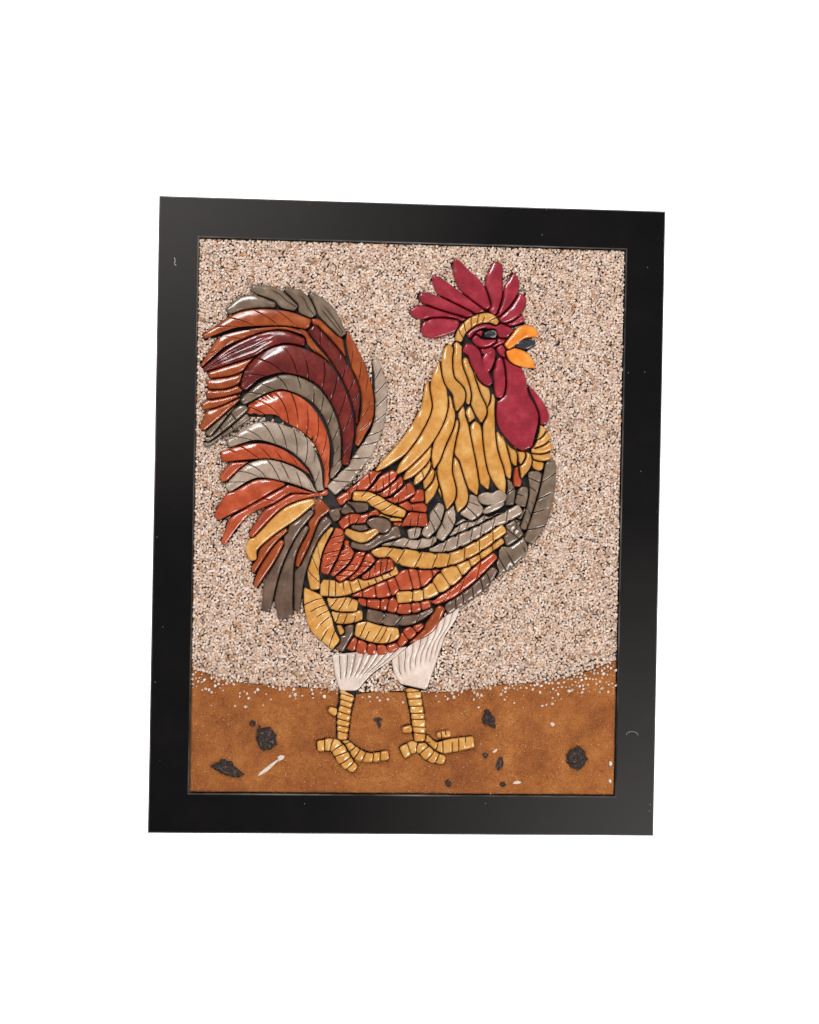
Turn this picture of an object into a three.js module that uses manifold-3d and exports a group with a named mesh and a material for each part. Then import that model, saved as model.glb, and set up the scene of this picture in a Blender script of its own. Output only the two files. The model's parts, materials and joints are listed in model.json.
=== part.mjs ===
// A framed mosaic panel: glazed clay pieces on crushed stone and sand, in a flat black wooden frame.
// Millimetres. X runs to the right, Z up, and the picture faces -Y. The origin is on the back of the
// top rail, at its middle, where the panel meets the wall.
import * as THREE from 'three';
import { mergeVertices } from 'three/addons/utils/BufferGeometryUtils.js';
import Module from 'manifold-3d';

const wasm = await Module();
wasm.setup();

// frame
const openWidth = 430;
const openHeight = 554;
// the picture is laid out on a grid of this many squares over the opening, u to the right and v up from its
// lower left corner; a square is one millimetre here, and gaps and widths in the picture are in squares too
const grid = [430, 554];
const railWidth = 40;
const railDepth = 22;
const arris = 1.2;
const mitreGap = 0.3;
const lip = 8;
// layers, as distances from the wall
const boardBack = 5;
const boardThick = 9;
const rabbetClearance = 0.5;
const bondGap = 0.3;
const bedThick = 1.2;
const bedClearance = 1.2;
const gravelTop = 20;
const sandTop = 19.4;
const clayTop = 23.5;
// clay pieces
const swell = 1.9;
const webThick = 1.6;
const tileGap = 0.8;
const crossing = 400;
const pieceGap = 0.4;
const stoneGap = 0.5;
const sideDraft = 1.2;
const jointWidth = 1.8;
const jointDepth = 1.9;
const baseStep = 60;
const turnStep = 0.4;
const lumpRise = 5;
const weldStep = 0.004;

const boardFront = boardBack + boardThick;
const bedBack = boardFront + bondGap;
const bedFront = bedBack + bedThick;
const clayBase = bedFront + bondGap;

const group = new THREE.Group();

// A closed body from rows of [across, up, distance from the wall] and triangles that index them. Across and
// up are from the lower left corner of the opening, in squares of the picture, or in millimetres for the frame.
function solid(points, triangles, inSquares = true) {
  const across = inSquares ? openWidth / grid[0] : 1;
  const up = inSquares ? openHeight / grid[1] : 1;
  const positions = [];
  for (const [u, v, out] of points) {
    positions.push(u * across - openWidth / 2, -out, v * up - openHeight - railWidth / 2);
  }
  const geometry = new THREE.BufferGeometry();
  geometry.setAttribute('position', new THREE.Float32BufferAttribute(positions, 3));
  geometry.setIndex(triangles.flat());
  const welded = mergeVertices(geometry, 1e-5);
  return new wasm.Manifold(new wasm.Mesh({
    numProp: 3,
    vertProperties: new Float32Array(welded.attributes.position.array),
    triVerts: new Uint32Array(welded.index.array),
  }));
}

// The outline moved outward by a distance, along the mean of the two sides that meet at each corner.
function grow(outline, distance) {
  return outline.map(([u, v], i) => {
    const [u0, v0] = outline[(i + outline.length - 1) % outline.length];
    const [u1, v1] = outline[(i + 1) % outline.length];
    const before = new THREE.Vector2(v - v0, u0 - u).normalize();
    const after = new THREE.Vector2(v1 - v, u - u1).normalize();
    const mean = before.clone().add(after);
    const reach = Math.min(1.6, 2 / Math.max(0.2, mean.lengthSq()));
    return [u + mean.x * distance * reach, v + mean.y * distance * reach];
  });
}

function anticlockwise(outline) {
  const turned = THREE.ShapeUtils.area(outline.map(([u, v]) => new THREE.Vector2(u, v))) < 0;
  return turned ? [...outline].reverse() : outline;
}

// A slab with the given outline between two distances from the wall, its front face drawn in a little.
function slab(outline, back, front, draft = 0, inSquares = true) {
  const base = anticlockwise(outline);
  const top = draft ? grow(base, -draft) : base;
  const n = base.length;
  const faces = THREE.ShapeUtils.triangulateShape(base.map(([u, v]) => new THREE.Vector2(u, v)), []);
  const points = [...base.map((p) => [...p, back]), ...top.map((p) => [...p, front])];
  const triangles = [];
  for (const [a, b, c] of faces) {
    triangles.push([a, c, b], [a + n, b + n, c + n]);
  }
  for (let i = 0; i < n; i += 1) {
    const j = (i + 1) % n;
    triangles.push([i, j, j + n], [i, j + n, i + n]);
  }
  return solid(points, triangles, inSquares);
}

// Corners of an outline cut once, so that a few points give a soft pebble shape.
function soften(outline) {
  return outline.flatMap(([u, v], i) => {
    const [u1, v1] = outline[(i + 1) % outline.length];
    return [[u * 0.76 + u1 * 0.24, v * 0.76 + v1 * 0.24], [u * 0.24 + u1 * 0.76, v * 0.24 + v1 * 0.76]];
  });
}

// A strip of clay along a curve of [u, v, width] points. A row of small tiles is a strip with `joints` across
// it, which lean by `slant` and narrow the row by `scallop`.
function strip(path, { joints = 0, slant = 0, scallop = 0 } = {}) {
  const curve = new THREE.CatmullRomCurve3(path.map((p) => new THREE.Vector3(...p)), false, 'centripetal');
  const length = curve.getLength();
  // straight strips need few stations, curved ones one for every `turnStep` of their turn
  let turn = 0;
  for (let i = 1; i < 24; i += 1) {
    turn += curve.getTangentAt(i / 24).angleTo(curve.getTangentAt((i - 1) / 24));
  }
  const coarse = Math.max(2, Math.round(turn / turnStep), Math.round(length / baseStep));
  const base = Array.from({ length: coarse + 1 }, (_, i) => i / coarse);
  const spine = base.map((t) => {
    const at = curve.getPointAt(t);
    const way = curve.getTangentAt(Math.min(0.999, Math.max(0.001, t)));
    const across = new THREE.Vector2(-way.y, way.x).normalize();
    return { at, across, half: Math.max(0.9, (at.z + swell) / 2) };
  });
  const edge = (t, side, inset, share = 1) => {
    const from = Math.min(coarse - 1, Math.floor(Math.max(0, t) * coarse));
    const f = Math.min(1, Math.max(0, t * coarse - from));
    const mix = (get) => get(spine[from]) * (1 - f) + get(spine[from + 1]) * f;
    const reach = Math.max(0.45, share - inset / mix((p) => p.half)) * side;
    return [mix((p) => p.at.x) + mix((p) => p.across.x * p.half) * reach,
      mix((p) => p.at.y) + mix((p) => p.across.y * p.half) * reach];
  };
  const half = Math.min(jointWidth / 2 / length, 0.2 / (joints + 1));
  // stations of the front face on one side, with their distance from the wall
  const stations = (side) => {
    const found = [[0, clayTop]];
    for (let i = 1; i <= joints; i += 1) {
      const middle = i / (joints + 1) + side * slant / length;
      found.push([middle - half, clayTop], [middle, clayTop - jointDepth], [middle + half, clayTop]);
    }
    for (const t of base.slice(1, -1)) {
      if (found.every(([s]) => Math.abs(s - t) > 2 / length)) {
        found.push([t, clayTop]);
      }
    }
    found.push([1, clayTop]);
    return found.sort((a, b) => a[0] - b[0]).filter(([t]) => t >= 0 && t <= 1);
  };
  const points = [];
  const row = (list, side, inset) => list.map(([t, out]) => {
    const share = inset && out < clayTop ? 1 - scallop : 1;
    return points.push([...edge(t, side, inset, share), out]) - 1;
  });
  const baseRow = base.map((t) => [t, clayBase]);
  const left = stations(1);
  const right = stations(-1);
  const count = Math.min(left.length, right.length);
  const backLeft = row(baseRow, 1, 0);
  const backRight = row(baseRow, -1, 0);
  const frontLeft = row(left.slice(0, count - 1).concat([left.at(-1)]), 1, sideDraft);
  const frontRight = row(right.slice(0, count - 1).concat([right.at(-1)]), -1, sideDraft);
  const triangles = [];
  // a band between two rows, always stepping along the one that lags behind
  const band = (low, lowT, high, highT, flip) => {
    let i = 0;
    let j = 0;
    while (i < low.length - 1 || j < high.length - 1) {
      const stepLow = j === high.length - 1 || (i < low.length - 1 && lowT[i + 1] <= highT[j + 1]);
      const face = stepLow ? [low[i], low[i + 1], high[j]] : [low[i], high[j + 1], high[j]];
      triangles.push(flip ? [face[0], face[2], face[1]] : face);
      if (stepLow) {
        i += 1;
      } else {
        j += 1;
      }
    }
  };
  const leftT = left.slice(0, count - 1).concat([left.at(-1)]).map(([t]) => t);
  const rightT = right.slice(0, count - 1).concat([right.at(-1)]).map(([t]) => t);
  band(backRight, base, frontRight, rightT, false);
  band(backLeft, base, frontLeft, leftT, true);
  for (let i = 0; i < base.length - 1; i += 1) {
    triangles.push([backRight[i], backLeft[i], backLeft[i + 1]]);
    triangles.push([backRight[i], backLeft[i + 1], backRight[i + 1]]);
  }
  for (let i = 0; i < frontLeft.length - 1; i += 1) {
    triangles.push([frontRight[i], frontRight[i + 1], frontLeft[i + 1]]);
    triangles.push([frontRight[i], frontLeft[i + 1], frontLeft[i]]);
  }
  const cap = (i, j, flip) => {
    const ring = [backLeft[i], backRight[i], frontRight[j], frontLeft[j]];
    const faces = [[ring[0], ring[1], ring[2]], [ring[0], ring[2], ring[3]]];
    triangles.push(...faces.map(([a, b, c]) => (flip ? [a, c, b] : [a, b, c])));
  };
  cap(0, 0, false);
  cap(base.length - 1, frontLeft.length - 1, true);
  const outline = anticlockwise([
    ...base.map((t) => edge(t, -1, 0)), ...[...base].reverse().map((t) => edge(t, 1, 0))]);
  return { body: solid(points, triangles), outline };
}

// A flat tile with soft corners, or with sharp ones.
function tile(points, sharp = false) {
  const outline = grow(anticlockwise(sharp ? points : soften(points)), swell / 2);
  return { body: slab(outline, clayBase, clayTop, sideDraft), outline };
}

function bounds(outline) {
  const us = outline.map((p) => p[0]);
  const vs = outline.map((p) => p[1]);
  return [Math.min(...us), Math.min(...vs), Math.max(...us), Math.max(...vs)];
}

function near(a, b, margin = 3) {
  return a[0] - margin < b[2] && b[0] - margin < a[2] && a[1] - margin < b[3] && b[1] - margin < a[3];
}

// Outlines laid so far: a later piece is cut back to leave a joint round each of them.
const laid = [];

// Fuses tiles that touch into one piece. Their sloping sides part them at the front, and a tile that would
// run over an earlier one is cut back from it there.
function fuse(members) {
  let body = null;
  const own = [];
  for (const member of members) {
    const box = bounds(member.outline);
    let part = member.body;
    for (const other of own) {
      if (near(box, other.box, 0) && part.intersect(other.body).volume() > crossing) {
        const web = clayBase + webThick + own.length * 0.03;
        part = part.subtract(slab(grow(other.outline, tileGap - sideDraft), web, clayTop + 2));
      }
    }
    body = body ? body.add(part) : part;
    own.push({ outline: member.outline, box, body: member.body });
  }
  const whole = bounds(own.flatMap((member) => member.outline));
  for (const other of laid) {
    if (near(whole, other.box)) {
      const cutter = slab(grow(other.outline, pieceGap), clayBase - 1, clayTop + 2);
      if (body.intersect(cutter).volume() > 0.01) {
        body = body.subtract(cutter);
      }
    }
  }
  laid.push(...own);
  return body;
}

// The body without the slivers that cuts leave beside it, and with its near-double corners made one.
function clean(body) {
  let largest = body;
  for (let pass = 0; pass < 3; pass += 1) {
    const parts = largest.decompose().sort((a, b) => b.volume() - a.volume());
    const mesh = parts[0].getMesh();
    const geometry = new THREE.BufferGeometry();
    geometry.setAttribute('position', new THREE.Float32BufferAttribute(mesh.vertProperties, 3));
    geometry.setIndex([...mesh.triVerts]);
    const welded = mergeVertices(geometry, weldStep);
    const corners = [];
    for (let i = 0; i < welded.index.count; i += 3) {
      const [a, b, c] = welded.index.array.slice(i, i + 3);
      if (a !== b && b !== c && c !== a) {
        corners.push(a, b, c);
      }
    }
    largest = new wasm.Manifold(new wasm.Mesh({
      numProp: 3,
      vertProperties: new Float32Array(welded.attributes.position.array),
      triVerts: new Uint32Array(corners),
    }));
  }
  return largest.getMesh();
}

function place(name, body, colour, roughness = 0.4, metalness = 0) {
  const mesh = clean(body);
  const geometry = new THREE.BufferGeometry();
  geometry.setAttribute('position', new THREE.Float32BufferAttribute(mesh.vertProperties, 3));
  geometry.setIndex([...mesh.triVerts]);
  const material = new THREE.MeshStandardMaterial({ color: colour, roughness, metalness });
  const node = new THREE.Mesh(geometry, material);
  node.name = name;
  group.add(node);
}

const clay = (name, colour, members) => place(name, fuse(members), colour, 0.32);

const crimson = '#912334';
const ochre = '#d09646';
const terracotta = '#c3522d';
const rust = '#b4581c';
const maroon = '#6e1c14';
const pale = '#9e8e80';
const taupe = '#736255';
const slate = '#5f534b';
const cream = '#e1cdc0';
const orange = '#e18228';

// Beak, the dark stone between its halves, and the eye.
clay('beak_upper', orange, [strip([[310, 452, 5], [318, 461, 9], [328, 468, 11], [341, 466, 3]])]);
clay('beak_lower', orange, [strip([[312, 450, 5], [319, 444, 13], [328, 440, 12], [339, 433, 3]])]);
clay('mouth_stone', '#2b2c30', [tile([[318, 455], [326, 460], [338, 459], [338, 455], [329, 450]])]);
clay('eye', '#120d0d', [strip([[285, 465, 6], [290, 465, 10], [295, 465, 6]])]);

// Face: rolled strips of clay round the eye and down the cheek.
clay('face', crimson, [
  strip([[270, 462, 4], [278, 472, 6], [290, 475, 6], [303, 469, 11], [317, 466, 6]]),
  strip([[277, 462, 5], [283, 456, 6], [291, 456, 5], [298, 461, 5]]),
  strip([[294, 454, 4], [303, 459, 6], [312, 463, 6]]),
  strip([[303, 456, 4], [306, 449, 8], [313, 445, 7]]),
  strip([[267, 451, 7], [276, 447, 10], [281, 434, 9], [289, 421, 9], [295, 414, 4]]),
  strip([[282, 453, 3], [287, 449, 6], [296, 449, 5]]),
  tile([[297, 450], [299, 443], [295, 431], [291, 427], [287, 433], [286, 441], [292, 448]]),
  strip([[302, 442, 5], [303, 428, 9], [304, 412, 9], [304, 401, 4]]),
]);

// Wattle: one long lobe with a second behind it.
clay('wattle', crimson, [
  strip([[312, 442, 10], [318, 424, 20], [318, 402, 30], [323, 380, 40], [328, 362, 26], [333, 350, 9]]),
  strip([[332, 412, 4], [340, 398, 11], [347, 384, 13], [348, 375, 7]]),
]);

// Comb: lobes that fan out from the crown.
clay('comb', crimson, [
  strip([[224, 471, 8], [233, 469, 18], [246, 471, 13], [262, 473, 7]]),
  strip([[212, 485, 4], [223, 485, 14], [240, 483, 7], [266, 476, 6]]),
  strip([[220, 503, 6], [236, 495, 12], [250, 487, 11], [274, 480, 5]]),
  strip([[235, 521, 6], [246, 508, 14], [262, 494, 14], [285, 481, 8]]),
  strip([[256, 538, 7], [263, 525, 13], [275, 507, 17], [286, 488, 8]]),
  strip([[299, 538, 8], [297, 524, 15], [295, 504, 15], [293, 485, 7]]),
  strip([[317, 528, 5], [316, 515, 9], [308, 500, 10], [300, 485, 4]]),
  strip([[323, 505, 7], [320, 495, 14], [310, 484, 14]]),
  strip([[301, 477, 5], [313, 477, 8], [327, 480, 6]]),
]);

// Hackle: long strands that fall from a scored crown band in three overlapping rows, and a chest tuft.
clay('crown_and_hackle', ochre, [
  strip([[259, 458, 5], [266, 472, 6], [278, 480, 7], [288, 479, 5]]),
  strip([[253, 454, 6], [250, 438, 8], [253, 418, 8], [263, 404, 10], [261, 387, 5]]),
  strip([[261, 457, 7], [260, 434, 8], [267, 413, 9], [273, 394, 6]]),
  strip([[269, 441, 8], [271, 424, 10], [279, 401, 10], [285, 388, 10], [286, 376, 6]]),
  strip([[278, 427, 5], [286, 409, 12], [291, 391, 7]]),
  strip([[275, 393, 4], [276, 384, 9], [274, 376, 4]]),
  strip([[297, 405, 6], [294, 382, 9], [296, 350, 10], [303, 325, 12], [311, 305, 4]]),
  strip([[245, 437, 4], [242, 414, 13], [244, 388, 12], [231, 358, 11], [202, 323, 6]]),
  strip([[232, 416, 4], [231, 388, 11], [213, 355, 12], [181, 325, 3]]),
  strip([[253, 402, 5], [253, 378, 10], [244, 352, 9], [239, 329, 4]]),
  strip([[237, 355, 4], [228, 338, 9], [209, 317, 6]]),
  strip([[238, 349, 4], [230, 332, 10], [220, 312, 6]]),
  strip([[237, 334, 5], [234, 322, 8], [230, 308, 4]]),
  strip([[262, 378, 3], [253, 352, 10], [250, 326, 12], [255, 304, 11], [253, 288, 4]]),
  strip([[260, 340, 3], [262, 318, 12], [267, 300, 12], [264, 285, 4]]),
  strip([[267, 392, 3], [267, 358, 15], [273, 328, 16], [283, 303, 5]]),
  strip([[280, 377, 7], [282, 352, 12], [288, 325, 11], [294, 309, 6]]),
  strip([[242, 327, 4], [238, 312, 9], [232, 293, 4]]),
  strip([[245, 326, 4], [248, 312, 9], [248, 299, 5]]),
  strip([[303, 367, 6], [308, 343, 10], [316, 320, 6]]),
  strip([[308, 363, 6], [315, 348, 10], [322, 333, 5]]),
  strip([[320, 353, 6], [326, 344, 9], [327, 335, 4]]),
  strip([[330, 348, 8], [332, 338, 10], [328, 321, 3]]),
  tile([[343, 374], [352, 373], [356, 362], [357, 347], [346, 330], [336, 336], [334, 347], [341, 358]]),
]);
clay('red_accent', terracotta, [strip([[325, 333, 5], [324, 322, 6], [324, 312, 5]])]);

// Tail: curved plumes that leave one root and arch over to the left, most of them scored across.
clay('tail_maroon_plumes', maroon, [
  strip([[150, 330, 4], [152, 365, 11], [142, 398, 16], [122, 424, 22], [88, 435, 26], [60, 422, 18],
    [46, 404, 4]]),
  strip([[158, 372, 5], [157, 402, 10], [140, 436, 10], [113, 467, 8]]),
  strip([[107, 451, 8], [80, 454, 16], [42, 441, 15], [7, 422, 4]]),
]);
clay('tail_rust_plumes', rust, [
  strip([[112, 470, 8], [85, 476, 13], [45, 473, 14], [6, 455, 5]]),
  strip([[132, 430, 5], [114, 454, 12], [78, 465, 11], [34, 457, 12], [5, 425, 6]]),
]);
clay('tail_crest_leaves', taupe, [
  strip([[29, 481, 4], [50, 490, 13], [77, 487, 6]]),
  strip([[53, 505, 4], [75, 499, 12], [97, 484, 8]]),
  strip([[86, 504, 4], [101, 494, 15], [114, 477, 9]]),
  strip([[110, 500, 6], [128, 483, 14], [146, 460, 5]]),
]);
clay('tail_rust_outer_strips', rust, [
  strip([[160, 350, 4], [169, 377, 13], [164, 415, 17], [148, 464, 5]]),
  strip([[113, 475, 4], [131, 463, 10], [150, 441, 8]]),
]);
clay('tail_pale_outer', pale, [
  strip([[178, 437, 4], [184, 406, 11], [178, 362, 12], [157, 326, 12], [136, 304, 10]]),
]);
clay('tail_rust_fan', rust, [
  strip([[12, 417, 4], [35, 424, 10], [57, 433, 6]]),
  strip([[11, 407, 6], [30, 412, 12], [48, 418, 7]]),
  strip([[10, 397, 6], [28, 402, 9], [46, 406, 6]]),
  strip([[6, 385, 4], [20, 391, 8], [40, 400, 7]]),
  strip([[6, 363, 4], [19, 380, 12], [41, 397, 7]]),
]);
clay('tail_taupe_sickle', taupe, [
  strip([[140, 316, 9], [144, 350, 11], [124, 395, 13], [84, 412, 13], [45, 391, 5]]),
  strip([[12, 357, 4], [26, 379, 9], [43, 398, 6]]),
  strip([[10, 352, 4], [29, 370, 9], [50, 387, 6]]),
  strip([[9, 347, 4], [30, 364, 9], [52, 378, 6]]),
]);
clay('tail_terracotta_sickle', terracotta, [
  strip([[133, 307, 5], [134, 332, 11], [123, 366, 24], [88, 389, 29], [62, 387, 18], [49, 381, 7]]),
]);
clay('tail_pale_sickles', pale, [
  strip([[126, 304, 6], [122, 328, 14], [100, 352, 18], [66, 362, 17], [32, 349, 5]]),
  strip([[126, 305, 6], [92, 321, 15], [62, 324, 15], [32, 304, 6]]),
]);
clay('tail_terracotta_mid', terracotta, [
  strip([[118, 314, 6], [98, 334, 15], [70, 343, 17], [26, 336, 8]]),
  strip([[53, 331, 7], [40, 324, 12], [26, 313, 6]]),
]);
clay('tail_terracotta_low', terracotta, [
  strip([[89, 313, 6], [66, 308, 20], [42, 294, 20], [22, 275, 8]]),
  strip([[122, 304, 4], [95, 307, 10], [76, 296, 10], [50, 284, 13], [29, 249, 6]]),
  strip([[133, 303, 4], [105, 299, 6], [84, 291, 10], [56, 257, 5]]),
]);
clay('tail_ochre_plume', ochre, [
  strip([[119, 295, 5], [98, 283, 15], [74, 265, 14], [58, 246, 10], [60, 233, 4]]),
]);
clay('tail_rust_low', rust, [
  strip([[92, 266, 4], [75, 252, 9], [59, 221, 5]]),
  strip([[88, 254, 4], [76, 235, 9], [62, 207, 5]]),
]);
clay('tail_slate_plumes', slate, [
  strip([[117, 285, 6], [96, 260, 10], [80, 224, 11], [73, 183, 7]]),
  strip([[112, 269, 5], [96, 240, 10], [90, 205, 17], [93, 176, 12]]),
]);
clay('tail_rust_inner', rust, [
  strip([[131, 291, 14], [120, 280, 12], [110, 250, 8], [102, 228, 4]]),
]);
clay('tail_slate_inner', slate, [
  strip([[135, 276, 7], [119, 258, 10], [106, 222, 10], [103, 184, 6]]),
]);

// Saddle and wing, from the tail root down to the belly: rows and leaves in terracotta, ochre and slate.
clay('side_ochre_crescent', ochre, [strip([[151, 264, 4], [168, 258, 8], [184, 266, 4]])]);
clay('side_slate_lobes', slate, [
  tile([[172, 274], [180, 278], [191, 277], [197, 271], [191, 261], [179, 267]]),
  strip([[157, 267, 4], [169, 266, 7], [180, 268, 6]]),
  strip([[157, 251, 4], [172, 249, 6], [188, 259, 9], [206, 265, 10]]),
]);
clay('side_terracotta_strip', terracotta, [
  strip([[146, 269, 7], [156, 276, 8], [170, 276, 8], [184, 284, 5]]),
]);
clay('root_slate_lobes', slate, [
  strip([[142, 274, 7], [139, 286, 9]]),
  strip([[160, 279, 5], [148, 288, 9]]),
  strip([[174, 289, 5], [163, 288, 8], [152, 290, 5]]),
]);
clay('saddle_ochre_strip', ochre, [
  strip([[158, 299, 8], [176, 297, 10], [192, 288, 10], [211, 282, 5]]),
  strip([[184, 280, 5], [196, 280, 8], [208, 279, 5]]),
]);
clay('saddle_terracotta_leaves', terracotta, [
  strip([[143, 293, 6], [156, 300, 10], [168, 311, 10], [184, 327, 5]]),
  strip([[173, 305, 5], [186, 313, 10], [202, 324, 6]]),
  strip([[179, 300, 5], [192, 307, 12], [208, 317, 6]]),
  strip([[190, 295, 5], [205, 302, 13], [219, 309, 10]]),
  strip([[215, 297, 5], [224, 301, 10], [232, 301, 8]]),
  strip([[205, 290, 6], [218, 292, 10], [233, 291, 11]]),
  strip([[199, 273, 6], [214, 277, 11], [233, 280, 18]]),
]);
clay('flank_terracotta_leaves', terracotta, [
  strip([[131, 221, 6], [137, 240, 12], [147, 266, 9]]),
  strip([[137, 220, 5], [149, 237, 14], [157, 253, 10]]),
  strip([[144, 215, 5], [157, 230, 13], [168, 246, 7]]),
  strip([[155, 217, 5], [168, 230, 12], [179, 239, 8]]),
  strip([[168, 219, 6], [184, 228, 13], [200, 232, 8]]),
]);
clay('flank_ochre_tiles', ochre, [
  strip([[135, 268, 7], [123, 242, 9], [116, 219, 12], [120, 205, 7]]),
  strip([[127, 207, 14], [150, 207, 13], [176, 215, 8], [204, 227, 8]]),
  tile([[111, 207], [119, 205], [126, 200], [159, 198], [163, 190], [170, 183], [169, 176], [151, 172], [150, 160],
    [141, 145], [119, 164], [111, 190]], true),
]);
clay('wing_ochre_rows', ochre, [
  strip([[178, 245, 6], [204, 240, 14], [232, 236, 14], [258, 238, 10], [282, 249, 9], [312, 270, 7]],
    { joints: 8, slant: 2, scallop: 0.08 }),
  strip([[204, 198, 9], [234, 203, 9], [256, 219, 16], [277, 236, 13], [296, 249, 12], [312, 264, 6]],
    { joints: 8, slant: 1, scallop: 0.08 }),
]);
clay('wing_terracotta_rows', terracotta, [
  strip([[159, 203, 6], [188, 206, 14], [216, 216, 20], [250, 224, 9]]),
  strip([[165, 195, 7], [193, 194, 16], [215, 189, 12], [238, 193, 6]],
    { joints: 6, scallop: 0.08 }),
  strip([[232, 194, 9], [256, 205, 13], [282, 225, 12], [303, 243, 6]]),
]);
clay('belly_slate_row', slate, [
  strip([[174, 181, 9], [198, 178, 14], [222, 179, 11], [240, 189, 6]],
    { joints: 4, slant: 2, scallop: 0.12 }),
]);
clay('belly_ochre_fan', ochre, [
  tile([[169, 177], [181, 174], [194, 169], [207, 167], [204, 160], [185, 153], [166, 158], [161, 167]]),
]);
clay('belly_slate_leaf', slate, [
  tile([[141, 144], [152, 144], [158, 158], [166, 171], [152, 170], [149, 160]], true),
]);
clay('belly_terracotta_row', terracotta, [
  strip([[156, 152, 10], [172, 149, 14], [196, 149, 12], [216, 162, 10], [230, 173, 6]],
    { joints: 7, scallop: 0.15 }),
]);
clay('belly_rust_sliver', rust, [strip([[217, 155, 4], [237, 168, 9], [250, 190, 6]])]);
clay('breast_slate_rope', slate, [
  strip([[254, 186, 8], [270, 198, 10], [291, 215, 11], [302, 230, 8]]),
]);
clay('wing_pale_rows', pale, [
  tile([[285, 303], [300, 309], [312, 303], [307, 294], [291, 293]]),
  tile([[263, 277], [268, 292], [276, 300], [290, 296], [288, 282], [275, 278]]),
  tile([[291, 283], [291, 290], [310, 297], [309, 291]]),
  strip([[231, 260, 6], [239, 274, 12], [248, 293, 6]]),
  strip([[246, 257, 6], [253, 273, 12], [261, 291, 6]]),
  strip([[214, 262, 7], [223, 264, 9], [235, 269, 9]]),
  strip([[188, 253, 5], [210, 253, 9], [232, 256, 12], [246, 262, 8]]),
  strip([[236, 246, 6], [258, 253, 10], [290, 268, 9], [328, 290, 8]]),
  strip([[256, 262, 6], [276, 271, 9], [298, 281, 8], [310, 285, 6]]),
]);
clay('breast_taupe_scales', taupe, [
  strip([[357, 338, 9], [355, 312, 12], [347, 279, 14], [336, 256, 8]]),
  strip([[342, 328, 14], [343, 306, 11], [340, 288, 11], [333, 268, 10]]),
  strip([[332, 312, 10], [328, 292, 12]]),
  strip([[315, 319, 10], [316, 293, 11]]),
  strip([[318, 287, 10], [334, 285, 12]]),
  strip([[311, 255, 9], [321, 268, 18], [334, 282, 14]]),
  strip([[301, 222, 7], [310, 235, 18], [325, 252, 20], [333, 264, 12]]),
]);

// Thighs, scored from the knee up like feathers, and the legs with their toes.
clay('thigh_right', cream, [
  tile([[201, 136], [218, 151], [234, 161], [246, 178], [254, 190], [270, 193], [266, 174], [252, 160], [247, 142],
    [235, 106], [215, 109], [210, 112], [203, 124]], true),
]);
clay('thigh_left', cream, [
  tile([[141, 143], [152, 146], [178, 150], [206, 156], [216, 152], [200, 136], [180, 121], [165, 104], [150, 104],
    [146, 116]], true),
]);
clay('leg_left', ochre, [
  strip([[157, 104, 15], [155, 90, 12], [153, 76, 12], [152, 55, 9]]),
  strip([[139, 84, 4], [150, 81, 7]]),
  strip([[127, 48, 8], [144, 49, 11], [156, 33, 11], [166, 25, 7]]),
  strip([[150, 55, 8], [162, 43, 11], [178, 37, 8], [199, 40, 6]]),
]);
clay('leg_right', ochre, [
  strip([[222, 108, 13], [226, 88, 12], [229, 70, 13], [230, 54, 9]]),
  strip([[214, 66, 4], [227, 67, 7]]),
  strip([[212, 42, 10], [228, 49, 10], [242, 39, 11], [256, 35, 6]]),
  strip([[235, 58, 6], [245, 48, 10], [262, 50, 11], [285, 54, 9]]),
]);

// A layer of stones or sand up to a distance from the wall, cut back from every clay piece it meets.
function layer(outline, front, low = 0) {
  let body = slab(outline, clayBase, front);
  for (const { outline: other, box } of laid) {
    if (box[1] < low || near(bounds(outline), box, 0)) {
      body = body.subtract(slab(grow(other, stoneGap), clayBase - 1, clayTop + 2));
    }
  }
  return body;
}

const rim = bedClearance;
const top = grid[1] - rim;
const farRight = grid[0] - rim;
const shore = [[0, 124], [40, 112], [85, 108], [130, 106], [158, 100], [190, 104], [222, 103], [262, 104], [300, 111],
  [345, 114], [385, 121], [grid[0], 138]];
const shoreline = shore.map(([u, v]) => [Math.min(farRight, Math.max(rim, u)), v]);
place('gravel_field', layer([...shoreline, [farRight, top], [rim, top]], gravelTop), '#d7c3b2', 0.85);
const island = [[160, 102], [222, 105], [216, 112], [206, 128], [201, 137], [190, 131]];
place('gravel_between_thighs', layer(island, gravelTop), '#d7c3b2', 0.85);
laid.push({ outline: grow(anticlockwise(island), bondGap), box: bounds(island) });
place('sand_ground', layer([[rim, rim], [farRight, rim], ...shoreline.reverse().map(([u, v]) => [u, v - 0.5])],
  sandTop), '#a56437', 0.95);

// A rough lump of lava: a low heap on a ring of uneven corners.
function lump(name, u, v, width, height, turn, seed) {
  const sides = 9;
  const ring = (share, out) => Array.from({ length: sides }, (_, i) => {
    const angle = (i / sides) * Math.PI * 2;
    const uneven = 1 + 0.16 * Math.sin(seed + i * 2.4) + 0.08 * Math.cos(seed * 3 + i * 4.1);
    const a = (Math.cos(angle) * width * share * uneven) / 2;
    const b = (Math.sin(angle) * height * share * uneven) / 2;
    return [u + a * Math.cos(turn) - b * Math.sin(turn), v + a * Math.sin(turn) + b * Math.cos(turn),
      out + (share < 1 ? 0.7 * Math.sin(seed * 2 + i * 3.3) : 0)];
  });
  const low = ring(1, sandTop + bondGap);
  const high = ring(0.72, sandTop + lumpRise * 0.75);
  const points = [...low, ...high, [u, v, sandTop + bondGap], [u, v, sandTop + lumpRise]];
  const triangles = [];
  for (let i = 0; i < sides; i += 1) {
    const j = (i + 1) % sides;
    triangles.push([i, j, j + sides], [i, j + sides, i + sides]);
    triangles.push([j, i, 2 * sides], [i + sides, j + sides, 2 * sides + 1]);
  }
  place(name, solid(points, triangles), '#2f2522', 0.9);
}

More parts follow.
